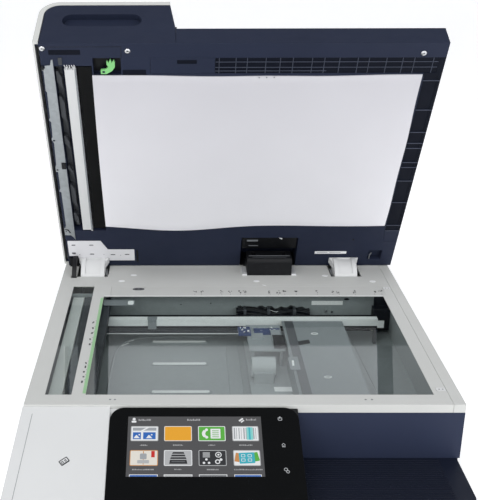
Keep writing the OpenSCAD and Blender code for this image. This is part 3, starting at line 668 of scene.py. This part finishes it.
def tile(ui, column, row, look, frame_look):
    """A framed tile on the display. It gives back the tile's left edge and top edge."""
    (x0, x1), (d0, d1) = COLUMNS[column], ROWS[row]
    ui.plate(rounded(x0, x1, d0, d1, 1.6), GLASS, 0.0, UI[frame_look])
    ui.plate(rounded(x0 + 0.9, x1 - 0.9, d0 + 0.9, d1 - 0.9, 1.0), 0.0, TILE, UI[look])
    return x0, d0


def build_display():
    """A head line, eight tiles with plain pictograms and unread captions, and the tops of four more tiles."""
    ui = Piece("display_graphics", slope, "case", "screen", UI["text"])
    draw = random.Random(7)

    def flat(outline, n, look):
        ui.plate(outline, n, n + 0.03, UI[look])

    def bit(x0, x1, d0, d1, look, n=TILE, r=0.0):
        flat(rounded(x0, x1, d0, d1, r, 3) if r else [(x0, d0), (x1, d0), (x1, d1), (x0, d1)], n, look)

    def patch(x, d, w, h, n, look, turn, r=None):
        mark(ui, x, d, w, h, n, UI[look], 0.03, turn, r)

    def dashes(x0, x1, d0, d1):
        """A caption that stays unread: short strokes in a row."""
        x = x0
        while x < x1 - 0.5:
            w = draw.choice((0.7, 1.2, 1.6))
            bit(x, min(x + w, x1), d0 + draw.choice((0, 0, 0.4)) * (d1 - d0), d1, "text", GLASS)
            x += w + 0.55

    for outline in (disc(-136.6, 17.9, 1.9), rounded(-139.6, -133.6, 20.1, 22.9, 1.1)):
        ui.plate(outline, GLASS, 0, UI["white"])
    dashes(-131, -115.5, 17.7, 20.3)
    dashes(-71.5, -54.8, 17.6, 20.2)
    dashes(0.5, 13.8, 17.2, 19.8)
    for x, d, w, h in ((-5.6, 18.8, 6.2, 2.2), (-3.9, 21.0, 5.0, 1.6)):
        mark(ui, x, d, w, h, GLASS, UI["white"], INK, -38)

    x, d = tile(ui, 0, 0, "white", "silver")
    bit(x + 2.4, x + 31, d + 2.2, d + 6.4, "bars")
    patch(x + 17, d + 4.4, 11, 1.8, OVER, "white", -32)
    for x0, x1 in ((x + 2.7, x + 12.4), (x + 15.1, x + 30.2)):
        bit(x0, x1, d + 8.7, d + 18.4, "blue")
        mid = (x0 + x1) / 2
        flat([(mid - 4, d + 17), (mid + 3.6, d + 17), (mid - 0.6, d + 12.2)], OVER, "white")
        flat(disc(mid + 2.8, d + 12.2, 1.0, 12), OVER, "white")

    tile(ui, 1, 0, "orange", "cream")

    x, d = tile(ui, 2, 0, "green", "white")
    arc = []
    for mid, wide, high, start, step in ((x + 11, 6.4, 6.6, 125, 11), (x + 12, 3.4, 3.6, 235, -11)):
        turns = [radians(start + step * k) for k in range(11)]
        arc += [(mid + wide * cos(a), d + 10.6 + high * sin(a)) for a in turns]
    for i in range(10):
        flat([arc[i], arc[i + 1], arc[20 - i], arc[21 - i]], TILE, "white")
    for dd in (5.2, 15.6):
        flat(disc(x + 10.2, d + dd, 1.9, 14), TILE, "white")
    bit(x + 15, x + 27, d + 3.8, d + 17.4, "white", TILE, 0.8)
    for k in range(4):
        bit(x + 17, x + 25, d + 6.2 + 2.8 * k, d + 7.2 + 2.8 * k, "green", OVER)

    x, d = tile(ui, 3, 0, "white", "silver")
    for k, w in enumerate((1.6, 0.8, 1.2, 0.6, 1.6, 0.9, 1.3, 0.7, 1.5, 0.8)):
        bit(x + 2 + 2.9 * k, x + 2 + 2.9 * k + w, d + 2.4, d + 18.2, "bars")
    bit(x + 17.5, x + 25, d + 1.6, d + 19.2, "aqua", OVER)
    bit(x + 20, x + 22, d + 1.6, d + 19.2, "teal", OVER + 0.03)

    x, d = tile(ui, 0, 1, "cream", "tan")
    bit(x + 15.6, x + 16.6, d + 1.4, d + 19.6, "tan", TILE)
    bit(x + 9, x + 23, d + 13.4, d + 18, "silver", OVER, 0.8)
    bit(x + 12, x + 20, d + 4.6, d + 12.4, "bars", OVER, 1.2)
    bit(x + 25.4, x + 29.6, d + 1.2, d + 9.8, "red", OVER)

    x, d = tile(ui, 1, 1, "silver", "white")
    for k, (half, deep) in enumerate(((7.4, 2.4), (8.6, 2.4), (9.8, 2.4), (10.8, 5.4))):
        y0 = d + 2.6 + 3.5 * k
        mid, y1 = x + 17, y0 + deep
        flat([(mid - half + 1, y0), (mid + half - 1, y0), (mid + half, y1), (mid - half, y1)], TILE, "dark")
    bit(x + 9, x + 25, d + 15, d + 16, "slate", OVER)

    x, d = tile(ui, 2, 1, "dark", "silver")
    for k in range(5):
        bit(x + 5, x + 13.4, d + 3 + 1.45 * k, d + 4.0 + 1.45 * k, "silver")
    for px, py, r, width in ((23.6, 6.2, 3.8, 1.0), (22.4, 15.6, 3.1, 1.2)):
        ui.ring(disc(x + px, d + py, r), width, TILE, OVER, UI["white"])
    dots = ((23.6, 6.2, 1.3), (6.2, 17.2, 1.5), (9.2, 12.6, 1.5), (12.2, 17.2, 1.5), (26.4, 12.8, 1.7))
    for px, py, r in dots:
        flat(disc(x + px, d + py, r, 12), TILE, "white")

    x, d = tile(ui, 3, 1, "white", "silver")
    patch(x + 8.4, d + 10.4, 13, 12, TILE, "tan", 10, 0.8)
    patch(x + 23.6, d + 9.6, 13, 12, TILE, "green", -12, 0.8)
    patch(x + 16, d + 10.6, 18.5, 14.6, OVER, "teal", -3, 0.8)
    for px in (11.6, 19.4):
        for py in (7.6, 13.4):
            box = rounded(x + px - 2.4, x + px + 2.4, d + py - 1.9, d + py + 1.9, 0.6, 2)
            ui.ring(box, 0.6, OVER + 0.03, OVER + 0.06, UI["white"])

    for (x0, x1), look in zip(COLUMNS, ("blue", "silver", "slate", "blue")):
        bit(x0, x1, 94, 96.7, "white", GLASS)
        bit(x0 + 0.8, x1 - 0.8, 94.8, 96.7, look, GLASS + 0.03)
    upper = ((-128.4, -118.6, 53.9), (-88.8, -76.8, 53.8), (-46.5, -38.4, 53.8), (-9.4, 6.2, 53.8))
    lower = ((-136.6, -110.4, 86.8), (-87, -78, 86.6), (-49, -35, 86.8), (-17, 16.6, 86.8))
    for x0, x1, d0 in upper + lower:
        dashes(x0, x1, d0, d0 + 1.5)
    ui.done()


def build_keys():
    """Three touch keys beside the display and the card reader's mark on the wing, with the wing's seam."""
    keys = Piece("touch_key_marks", slope, "case", "gloss_black", KEY_INK)
    keys.ring(rounded(39.6, 44.8, 15.2, 20, 1.6, 4), 0.8, 0, INK)
    keys.plate(rounded(41.5, 42.9, 14.2, 17.2, 0.5, 2), 0, 0.06)
    house = [(41.3, 54), (43.6, 51.6), (46, 54), (45.5, 54.2), (45.5, 57.2), (41.7, 57.2), (41.7, 54.2)]
    keys.ring(house, 0.65, 0, INK)
    keys.plate(rounded(43, 44.2, 55.2, 57, 0.3, 2), 0, INK)
    keys.ring(disc(43.6, 87.4, 2.3), 0.8, 0, INK)
    keys.ring(disc(45.8, 90.4, 2.1), 0.8, 0.01, 0.06)
    keys.done()

    wing = -1  # the wing's face lies this far below the console's
    card = Piece("card_reader_mark", slope, "case", "white_plastic", DARK_INK)
    turn = radians(-38)

    def turned(points):
        c, d = cos(turn), sin(turn)
        return [(-217.4 + x * c - y * d, 76.0 + x * d + y * c) for x, y in points]

    card.ring(turned(rounded(-5.8, 5.8, -3.9, 3.9, 1.2, 4)), 1.15, wing, wing + INK)
    for x, w in ((-2.6, 3.2), (1.8, 2.4)):
        card.ring(turned(rounded(x - w / 2, x + w / 2, -1.6, 1.4, 0.8, 3)), 0.8, wing, wing + INK)
    card.plate(turned([(-5, 2.1), (5, 2.1), (5, 2.8), (-5, 2.8)]), wing, wing + INK)
    card.done()

    seam = Piece("wing_seam", slope, "case", "white_plastic", GREY_INK)
    seam.plate([(-263.1, 9.3), (-262.5, 9.3), (-273.9, 146), (-274.5, 146)], wing, wing + 0.06)
    seam.done()


# ---- Marks on the case ----


def build_deck_marks():
    """Size marks beside the glass, the green line, and the moulded caps on the deck."""
    draw = random.Random(11)
    ink = Piece("size_marks", case, "case", "strip_plastic", DARK_INK)
    marked = (-56, -45.6, -13.4, 0.3, 16, 23.6, 63.5, 76.8, 86.6, 104.9, 138.5, 163, 173, 198.3, 229.3, 240.5)
    for x in marked:
        for _ in range(4):
            w, h = draw.uniform(1.1, 2.6), draw.uniform(1.6, 4.6)
            px, py = x + draw.uniform(-2.6, 2.6), 340.5 + draw.uniform(-4.5, 4.5)
            mark(ink, px, py, w, h, 0, None, 0.04, draw.uniform(-25, 25), 0.3)
        ink.block(x - 0.3, x + 0.3, 330, 333.2, 0, 0.04)
    for y in (230.5, 212, 196, 176.5, 161, 106.6, 96, 82.6, 69.4, 56.3):
        w, h = draw.uniform(1.7, 3.0), draw.uniform(3.4, 7)
        mark(ink, -207.9 + draw.uniform(-0.8, 0.8), y, w, h, 0, None, 0.04, draw.uniform(-20, 20), 0.3)
        ink.block(-205.4, -204, y + 5, y + 5.8, 0, 0.04)
    ink.done()

    slabs("green_line", case, "case", "strip_plastic", [(-204.2, -200.1, 27, 318, 0, 0.06)], GREEN_INK)

    caps = Piece("deck_caps", case, "case", "white_plastic", PALE_INK)
    for x, y in ((-156.5, 408.5), (-175.3, 384), (46.1, 383), (161.7, 405.5), (235.7, 381.5)):
        caps.plate(oval(x, y, 5.2, 3.4), 0, 0.5, None, 0.25)
    mark(caps, 57, 366.2, 6.5, 1.6, 0, None, 0.3, -40)
    caps.done(40)

    badge = Piece("ruler_badge", case, "case", "strip_plastic", GREY_INK)
    edge = oval(-146.2, 350.8, 9.6, 4.6, 28)
    badge.plate(edge, 0, 0.5, None, 0.2)
    badge.ring(inset(edge, 0.3), 1.7, 0.5, 0.56, DARK_INK)
    mark(badge, -149.5, 350.6, 4.2, 2.6, 0.5, DARK_INK, 0.06, 20)
    mark(badge, -142.8, 351, 3.4, 2.0, 0.5, DARK_INK, 0.06, -15)
    badge.done()

    dots = Piece("rim_dots", case, "case", "light_plastic", GREY_INK)
    for x, y in ((-168, 12.3), (-162, 12.1), (152.4, 12), (160.3, 12.1)):
        dots.plate(disc(x, y, 1.5, 14), 0, INK)
    for x, y in ((251, 37), (255.6, 37), (251, 354), (255.6, 354)):
        dots.plate(disc(x, y, 0.9, 12), 0.2, 0.26, DARK_INK)
    dots.done()

    # Grey strips along the top edges of the black harness duct: painted highlights
    rows = [(35, 103, 416.5, 418.2, 31, 31.5, GREY_INK), (41, 97, 412.2, 413.2, 30, 30.9)]
    slabs("duct_painted_highlights", case, "case", "dark_plastic", rows)

    guide = Piece("harness_guide", case, "case", "black_plastic")
    guide.plate(rounded(28, 110, 447.6, 488, 3, 4), 0.02, 0.9, None, 0.3)
    for k in range(3):
        guide.block(50 + 16 * k, 54 + 16 * k, 452, 480, 0.9, 1.1)
    guide.block(28, 110, 482, 489.4, 0.1, 14.5, None, 1.2)
    guide.done()

    slabs("glass_lip", case, "case", "light_plastic", [(-199.9, 240.9, 324.05, 325.6, -0.2, 0.18)], PALE_INK)


# ---- Inside, under the glass ----

WALL = 344.9  # the rear wall of the well
PAN, PRESSED = -68.6, -67.4  # the pan's floor, and the marks pressed into it


def build_interior():
    """What shows through the glass: pressed marks in the pan, partly pale as painted highlights, the wiring,
    connectors and labels, and painted shadows along the guide rail and the walls.
    """
    # The pale plates, bars and rings in the lighter rail steel are partly the pressings' own face and partly
    # painted highlights; the raised lines in the pan's own steel are pressings
    pan = Piece("pan_pressings_and_highlights", case, "case", "zinc_steel", RAIL_PAINTED_LIGHT)
    for x0, x1, y in ((-124, -37, 228), (-126, -36, 300), (-123, -35, 146)):
        pan.plate(rounded(x0 + 3, x1 - 3, y - 3.4, y + 3.4, 3.2, 6), PRESSED, PRESSED + 0.5, None, 0.2)
    pan.plate(rounded(-143, -4, 327.8, 334.2, 3, 6), PRESSED, PRESSED + 0.5, None, 0.2)
    corner = ((-150, 312), (-168, 298), (-178, 276), (-182, 240))
    curve = ((-4, 318), (-120, 317), *corner, (-184, 120), (-184, 40))
    pan.tube(bend([(x, y, PAN) for x, y in curve]), 1.6, LOOKS["pan_steel"])
    for x, y, w, turn in ((-168, 290, 20, 40), (-160, 303, 16, 28)):
        mark(pan, x, y, w, 2.6, PAN, None, 0.5, turn)
    for points in (
        ((-8.5, 285), (-8.2, 40)),
        ((10.6, 285), (12, 40)),
        ((180, 340), (191, 336), (200, 147), (202, 40)),
    ):
        pan.tube([(x, y, PAN - 0.1) for x, y in points], 0.9, LOOKS["pan_steel"])
    for x, y, z in ((123.2, 247, -27.3), (123, 116, -27.3), (61, 113, -60)):
        pan.ring(oval(x, y, 5.5, 3), 1.1, z, z + 0.7)
    pan.done(50)

    label = Piece("inside_labels", case, "case", "white_plastic", PALE_INK)
    corners = ((132, -25), (182, -25), (182, -18), (132, -18))
    label.solid([[(x, y, z) for x, z in corners] for y in (WALL + 0.05, WALL - 0.2)])
    label.plate(rounded(53, 80, 133.5, 146, 0.8, 3), -60, -59.8)
    label.plate(rounded(74, 88, 134, 172, 1.5, 4), -26.5, -25.6, GREY)
    mark(label, 79.5, 153, 3, 16, -25.6, PALE_INK, 0.08, -4)
    label.plate(rounded(-199.5, -151, 305.5, 325.5, 2, 3), -7.6, -6.9, GREY)
    mark(label, -157, 314.5, 9, 14, -6.9, PALE_INK, 0.1, 0)
    label.done()

    dark = Piece("inside_dark_parts_and_shadows", case, "case", "black_plastic")
    dark.plate([(92.5, 209), (91.5, 221), (112, 227.5), (112.5, 216.5)], -27.3, -26.9)
    dark.block(59, 76, 209, 243, -32.4, -26.5, None, 0.8)
    dark.block(9, 28, 250, 275, -32.4, -29, LOOKS["board_blue"], 0.5)
    dark.block(33, 73, 254, 273, -32.4, -30.6, LOOKS["board_blue"], 0.3)
    # A black strip under the rail's front: painted shadow
    dark.block(-188, 230, 292.2, 294, -43.6, -41.1)
    # A dark strip at the foot of the rear wall: painted shadow of the gap between the rail and the wall
    dark.block(-186, 232, 344.2, WALL, -52, -45)
    # Dark blocks against the right wall at the back: painted shade and painted reflection of the lid's navy
    dark.block(229, 255.7, 329, 344.8, -62, -25.2, None, 1)
    dark.block(231.5, 255.7, 341.7, 344.8, -25.2, -9.5, None, 0.5)
    dark.stud(188, -15, 4.5, 1.7, 20, WALL, WALL - 0.5)
    for x, z in ((-78, -24), (-30, -22)):
        dark.stud(x, z, 0.9, 0.9, 10, WALL, WALL - 0.5)
    dark.done()

    rows = [
        (-130.5, -115.5, 291.2, 302.1, -24.99, -24.75, None, 0.1),
        (-129.5, -116.5, 289.4, 291.9, -41, -24.75, None, 0.4),
    ]
    slabs("rail_saddle", case, "case", "grey_plastic", rows)
    # Dark and black strips under the guide rail's front and behind its flange: painted shadows
    rows = [
        (-254.5, 227.5, 291.7, 291.98, -39.9, -36.5, BLACK),
        (-254.5, 39.5, 291.7, 291.98, -44.7, -40),
        (-254.5, 39.5, 284.2, 291.7, -44.98, -44.8),
        (-250, 229, 302.2, 308.6, -27, -25.4, BLACK),
        (223.6, 228.4, 294.1, 301.4, -68.7, -40),
    ]
    slabs("rail_painted_shadows", case, "case", "dark_plastic", rows)

    low, high = (Vector(c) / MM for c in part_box("lamp"))
    row = (low.x + 0.3, high.x - 0.3, low.y + 1, high.y - 1, high.z + 0.05, high.z + 0.6, None, 0.2)
    slabs("lamp_lens", whole, "scan_carriage", "lamp_plastic", [row])

    draw = random.Random(4)
    # Small parts on the boards; the white and silver ones also stand in for glints, as painted highlights
    bits = Piece("board_parts_and_glints", case, "case", "white_plastic")
    for cx, cy, wide, deep, count, z in (
        (19, 262, 15, 18, 9, -29),
        (50, 268, 30, 10, 16, -32.4),
        (46, 200, 22, 14, 10, -60),
        (66, 270, 12, 12, 6, -32.4),
    ):
        for _ in range(count):
            w, h = draw.uniform(1.0, 3.4), draw.uniform(1.0, 3.6)
            look = draw.choice((WHITE, SILVER, WHITE, BLACK))
            x, y = cx + draw.uniform(-wide, wide) / 2, cy + draw.uniform(-deep, deep) / 2
            bits.block(x - w / 2, x + w / 2, y - h / 2, y + h / 2, z, z + draw.uniform(0.8, 2.4), look, 0.2)
    for x, z in ((156, -36), (166, -37)):
        bits.stud(x, z, 2.0, 2.0, 14, WALL, WALL - 0.9, SILVER)
    bits.done()

    wires = Piece("wiring", case, "case", "black_plastic")
    low, high = [], []
    for i in range(24):
        x = 13 + 5 * i
        high.append((x, -28.5 + 2.2 * sin(1.9 * i) + 1.4 * sin(0.7 * i + 2)))
        low.append((x, -44.5 + 1.5 * sin(1.3 * i + 1)))
    outline = high + low[::-1]
    wires.solid([[(x, y, z) for x, z in outline] for y in (344.8, 338)])
    tubes = ((340, -32.2, 4.2), (336, -34, 3.6), (341, -40, 3.4), (333, -31, 2.6), (337, -43, 2.4))
    for k, (y, z, r) in enumerate(tubes):
        path = []
        for i in range(13):
            x = 11 + 117 * i / 12
            y1 = min(y + 2.2 * sin(0.9 * i + 1.7 * k), 344.8 - r)
            path.append((x, y1, z + 2.6 * sin(0.75 * i + 2.3 * k) - 0.25 * i))
        wires.tube(path, r)
    # Two silver wires on the black harness, standing in for its glints: painted highlights
    for k in range(2):
        path = [(62 + 3 * i, 331.5 + 1.5 * sin(i + k), -30 - 5 * k + sin(1.4 * i + k)) for i in range(6)]
        wires.tube(path, 0.6, SILVER)
    for x in (22, 60, 101):
        wires.block(x, x + 4.5, 329.5, 344.8, -46.5, -26, LOOKS["dark_plastic"], 1)
    wires.done(60)


def bend(points):
    """A smooth path through points: corners cut twice."""
    for _ in range(2):
        out = [points[0]]
        for a, b in zip(points, points[1:]):
            a, b = Vector(a), Vector(b)
            out += [tuple(a.lerp(b, 0.25)), tuple(a.lerp(b, 0.75))]
        points = out + [points[-1]]
    return points


# ---- On the lid ----


def build_lid_details():
    """Screw heads, pictogram marks, dark slots and small springs on the lid's underside, with painted shade
    in its recesses and along the backing bar's edge, and painted highlights on its ribs.
    """
    screws = Piece("lid_screw_heads", under, "lid", "bright_steel")
    levels = ((4.0, 0), (4.0, 0.5), (3.7, 1.0), (3.0, 1.5), (1.9, 1.8), (1.5, 1.2))
    for x, s in ((-264.2, 449), (-150, 444.7), (247, 440.2)):
        screws.screw(x, s, levels, 24, (3.4, 0.8, 1.15), (20, 110))
    obj = screws.done(50)
    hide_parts("lid_screws")

    label = Piece("lid_labels", under, "lid", "white_plastic", PALE_INK)
    label.plate(rounded(146.5, 199.5, 29.8, 36.2, 0.5, 3), 0, 0.12)
    for x0, x1 in ((150, 168), (171, 190)):
        label.plate(rounded(x0, x1, 32.5, 33.4, 0.3, 2), 0.12, 0.16, GREY_INK)
    left = ((-256.7, 53, 7, 3), (-227, 53, 8, 2.6), (-257.7, 32.5, 7, 6), (-227.3, 30.2, 8, 3.4))
    for x, s, w, h in (*left, (-192.2, 29, 8.5, 2.6), (-168.5, 29.4, 8.5, 2.6)):
        label.ring(oval(x, s, w / 2, h / 2, 18), 0.6, 0.8, 0.86, GREY_INK)
        mark(label, x - w * 0.16, s, w * 0.38, h * 0.5, 0.8, DARK_INK, 0.06, 15)
        mark(label, x + w * 0.22, s, w * 0.3, h * 0.6, 0.8, DARK_INK, 0.06, -20)
    for x, s in ((-248, 29.3), (-207.3, 29.6), (-179.4, 27.5)):
        label.plate(disc(x, s, 0.8, 10), 0.8, 0.86, GREY_INK)
    for x, s in ((29, 401.6), (39.2, 401.9), (49.5, 402)):
        label.plate(disc(x, s, 0.9, 12), 2.3, 2.95, GREY_INK)
    label.done()

    dark = Piece("lid_dark_lines", under, "lid", "black_plastic")
    for x0, x1, s0, s1 in ((-259, -158.6, 451.1, 451.7), (-159.3, -158.6, 434, 451.7)):
        dark.block(x0, x1, s0, s1, 0, 0.08)
    dark.plate(rounded(-201.5, -160.5, 405, 433.5, 1, 3), -9.9, -9.7)
    dark.plate([(-269, 421), (-265.5, 421), (-265.3, 414), (-268.5, 414.6)], 0, 1.6)
    dark.plate(rounded(-258.3, -251.9, 228.3, 240.7, 0.8, 3), 0, 2.6, None, 0.4)
    dark.plate(rounded(24, 114, 40, 69.5, 1, 3), -5, -3.5)
    dark.plate(rounded(-153, -149.6, 10, 40, 1, 3), 0, 0.3)
    dark.plate(rounded(205, 208, 64, 67, 0.8, 3), 0, 0.6)
    for x0, x1, s0, s1 in ((31.3, 50, 57.4, 61.4), (35, 51, 46.2, 47.6)):
        dark.plate(rounded(x0, x1, s0, s1, 0.6, 2), -3.5, -3.2, GREY_INK)
    mark(dark, 86, 66, 9.5, 2.4, -3.5, PALE_INK, 0.3, -38)
    dark.tube([(-268.3, 92, 0.4), (-262, 91, 1.6), (-259, 84, 1.4)], 0.9)
    dark.tube([(239.5, 17, -0.3), (239, 27, 0.9), (241, 33, 0.9)], 0.9, GREY_INK)
    dark.done()

    # Recess floors, edge strips and slots in the darker navy: painted shade
    floors = Piece("lid_recess_shaded_floors", under, "lid", "navy_plastic", RECESS_SHADE_NAVY)
    floors.block(-31.8, 269.8, 407.2, 432.8, -5.95, -0.5)
    floors.block(255.2, 274.8, 86, 400.8, -5.95, -0.5)
    for x0, x1, s0, s1 in ((269.8, 278.8, 401, 433), (253.4, 269.8, 401, 407.2), (274.8, 278.8, 86, 401)):
        floors.block(x0, x1, s0, s1, 0.0, 0.06)
    slots = ((-256.5, -213.5, 438.5, 446.6), (-158, -126, 403, 413.5), (-83.8, -56.7, 423.2, 429.6))
    for x0, x1, s0, s1 in slots:
        floors.plate(rounded(x0, x1, s0, s1, 1, 3), 0.02, 0.12)
    floors.done()
    # The ribs in the lighter navy: painted highlights on their edges
    ribs = Piece("lid_ribs_painted_highlight", under, "lid", "navy_plastic", RIB_HIGHLIGHT_NAVY)
    for s in (86.6, 99.5, 152.5, 200, 228.7, 239, 267.6, 277.6, 299, 341, 393.4):
        ribs.block(255.2, 278.6, s, s + 1.1, -0.6, 0.7, None, 0.2)
    for k in range(15):
        x = -27 + 20.5 * k + 3 * sin(2.3 * k)
        ribs.block(x, x + 0.9, 407.4, 432.6, -0.6, 0.3, None, 0.2)
    for s, x1 in ((425.5, 269.6), (416.5, 269.6), (410.5, 120)):
        ribs.block(-31.6, x1, s, s + 0.9, -0.6, 0.2, None, 0.2)
    ribs.done()
    covered = ((-119.8, -32, 407.2, 432.8), (255.2, 274.8, 60.2, 85.9))
    rows = [(*sides, -5.9, 0.02, None, 0.2) for sides in covered]
    slabs("lid_recess_cover", under, "lid", "navy_plastic", rows)
    rows = [(x, x + 9, 0.3, 1.8, -28.6, -0.2) for x in (22.2, 106.8)]
    slabs("duct_pocket_ends", under, "lid", "black_plastic", rows)
    teeth = Piece("bar_spring", under, "lid", "bright_steel")
    for k in range(5):
        x = -236.5 + 3.3 * k
        teeth.tube([(x, 414.5, 0.9), (x + 0.8, 418.5, 1.4), (x - 0.6, 422.5, 0.6)], 0.7)
    teeth.done(60)
    rows = [(x0, x1, 17.4, 20.2, 0.1, 2.2, None, 0.5) for x0, x1 in ((-237.3, -212.7), (185.2, 207.8))]
    slabs("hinge_block_lips", under, "lid", "white_plastic", rows)
    # A grey strip along the backing bar's right edge: painted shade on its side
    slabs("bar_edge_painted_shade", under, "lid", "grey_plastic", [(-223.8, -221.6, 91.5, 415.5, 0.8, 1.0)])


# ---- The back, the feeder's cover and the tray ----


def build_back():
    """Screws, a blank rating plate and seams on the back and the sides."""
    heads = Piece("back_screws", rear, "case", "bright_steel")
    levels = ((3.6, 0), (3.6, 0.6), (3.0, 1.2), (1.6, 1.6), (1.3, 1.0))
    for x in (-255, -30, 60, 255):
        for z in (-23, -70):
            heads.screw(x, z, levels, 20, (2.8, 0.7, 0.95), (35, 125))
    heads.done(50)

    plate = Piece("rating_plate", rear, "case", "white_plastic", PALE_INK)
    plate.plate(rounded(104, 172, -66, -34, 2, 4), 0, 0.25, None, 0.1)
    for k, (x0, x1) in enumerate(((109, 143), (109, 150), (109, 139), (109, 147), (109, 134))):
        plate.block(x0, x1, -39.5 - 5 * k, -38 - 5 * k, 0.25, 0.3, GREY_INK)
    plate.ring(rounded(153, 167, -52, -38, 1, 3), 0.7, 0.25, 0.3, DARK_INK)
    draw = random.Random(3)
    for i in range(7):
        for j in range(7):
            if draw.random() < 0.5:
                x, z = 155 + 1.45 * i, -50 + 1.45 * j
                plate.block(x, 156.3 + 1.45 * i, z, -48.7 + 1.45 * j, 0.25, 0.3, DARK_INK)
    plate.done()

    seams = Piece("case_seams", case, "case", "light_plastic", GREY_INK)
    for x0, x1 in ((-CASE_HALF - 0.05, -CASE_HALF + 0.02), (CASE_HALF - 0.02, CASE_HALF + 0.05)):
        seams.block(x0, x1, 470, 470.6, -77.5, -12)
        seams.block(x0, x1, 3, 470, -16.6, -16.1)
    seams.done()
    for name, z0, z1 in (("back_seam_low", -74.6, -74.0), ("back_seam_high", -16.6, -16.1)):
        slabs(name, rear, "case", "light_plastic", [(-272, 272, z0, z1, -0.02, INK)], GREY_INK)


def build_feeder_details():
    """The cover's latch and arrows, the tray's ribs and size marks, and the output area's ribs."""
    top = 97  # the cover's face
    latch = Piece("cover_latch", lid, "feeder_cover", "navy_plastic")
    latch.plate(rounded(-112, -94, 206, 254, 4, 6), top, top + 1.4, None, 0.6)
    for k in range(4):
        latch.block(-108.5 + 3.6 * k, -107 + 3.6 * k, 212, 248, top + 1.4, top + 1.9, None, 0.2)
    latch.done()
    arrows = Piece("cover_marks", lid, "feeder_cover", "light_plastic", GREY_INK)
    arrows.plate([(-121, 224), (-121, 236), (-128, 230)], top, top + INK)
    for s in (16, 441):
        arrows.block(-243, -95, s - 0.3, s + 0.3, top, top + INK)
    arrows.ring(rounded(-152, -136, 222, 238, 2, 4), 0.8, top, top + INK)
    for k in range(3):
        arrows.block(-149, -139, 226 + 3 * k, 227 + 3 * k, top, top + INK)
    arrows.done()

    rows = []
    for k in range(9):
        s = 107 + 32 * k
        far = 226 if 200 < s < 270 else 252
        rows.append((116, far, s - 1.1, s + 1.1, 0, 0.7, None, 0.3))
    slabs("tray_ribs", tray, "input_tray", "navy_plastic", rows)

    marks = Piece("tray_size_marks", tray, "input_tray", "white_plastic", PALE_INK)
    for base, sign in ((86, 1), (384, -1)):
        for k, long in enumerate((3.5, 2, 2, 3.5, 2, 3.5, 2)):
            s = base + sign * (14 + 13 * k)
            marks.block(67.5, 67.5 + long, s - 0.35, s + 0.35, 0, INK)
            mark(marks, 75, s, 2.2, 1.3, 0, None, 0.05, 20)
    marks.plate([(104, 231), (104, 239), (96, 235)], 0, INK)
    marks.block(104, 116, 234, 236, 0, INK)
    marks.ring(rounded(80, 94, 224, 246, 1.5, 3), 0.9, 0, INK)
    for k in range(4):
        marks.block(83 + 2.4 * k, 84 + 2.4 * k, 228, 242, 0, INK)
    marks.done()

    rows = []
    for k in range(8):
        s = 108 + 34.5 * k
        rows.append((-52, 112, s - 1.2, s + 1.2, 31.8, 32.7, None, 0.4))
    slabs("output_ribs", lid, "lid", "navy_plastic", rows)


build_back()
build_feeder_details()
build_display()
build_keys()
build_deck_marks()
build_interior()
build_lid_details()


# ---- Camera, light and floor ----

camera = bpy.data.objects.new("camera", bpy.data.cameras.new("camera"))
bpy.context.scene.collection.objects.link(camera)
camera.location = case(-82.0, -968.5, 589.3)
camera.rotation_euler = Euler((pi / 2 - 0.362, 0.003, 0.005), "XYZ")
camera.data.sensor_width = 36
camera.data.lens = 64.6
camera.data.shift_x = 0.1314
camera.data.shift_y = -0.0258
camera.data.clip_start = 0.05
camera.data.clip_end = 60
bpy.context.scene.camera = camera


def area_light(name, at, towards, size, power, colour=(1, 1, 1)):
    data = bpy.data.lights.new(name, "AREA")
    data.shape = "RECTANGLE"
    data.size, data.size_y = size
    data.energy = power
    data.color = colour
    obj = bpy.data.objects.new(name, data)
    bpy.context.scene.collection.objects.link(obj)
    obj.location = at
    obj.rotation_euler = (Vector(towards) - Vector(at)).to_track_quat("-Z", "Y").to_euler()


area_light("key", (-1.3, -2.3, 2.0), (0, 0, 0.2), (2.0, 1.4), 31.5, (1, 0.995, 0.98))
area_light("fill", (1.9, -2.3, 1.6), (0, 0, 0.2), (1.8, 1.4), 21, (0.97, 0.98, 1))
area_light("top", (0, -1.4, 2.8), (0, 0, 0), (2.2, 1.4), 14)

world = bpy.data.worlds.new("studio")
world.use_nodes = True
sky = world.node_tree.nodes["Background"].inputs
sky["Color"].default_value = (0.94, 0.96, 1.0, 1)
sky["Strength"].default_value = 0.5
bpy.context.scene.world = world
bpy.context.scene.view_settings.view_transform = "Standard"


def build_floor():
    """A pale floor that sweeps up into a backdrop on every side."""
    t = Tree("floor")
    t.give({
        "Base Color": t.mix(t.noise(2, 2), shade("f2f2f3"), shade("f6f6f7")),
        "Roughness": 0.85,
        "Emission Color": (1, 1, 1, 1),
        "Emission Strength": 0.42,
    })
    bm = bmesh.new()
    rings = []
    steps, low = 64, cad_box[0][2]
    sweep = ((0.01, 0), (3.0, 0), (7.5, 0), (8.4, 0.08), (9.2, 0.35), (9.75, 0.9), (10, 1.7), (10.05, 3.6))
    for r, z in sweep:
        rings.append([bm.verts.new((x, y, low + z)) for x, y in disc(0, 0, r, steps)])
    bm.faces.new(rings[0])
    for inner, outer in zip(rings, rings[1:]):
        for k in range(steps):
            after = (k + 1) % steps
            bm.faces.new((inner[k], outer[k], outer[after], inner[after]))
    bmesh.ops.recalc_face_normals(bm, faces=bm.faces)
    mesh = bpy.data.meshes.new("floor")
    bm.to_mesh(mesh)
    bm.free()
    mesh.materials.append(t.mat)
    mesh.shade_smooth()
    obj = bpy.data.objects.new("floor", mesh)
    bpy.context.scene.collection.objects.link(obj)


build_floor()
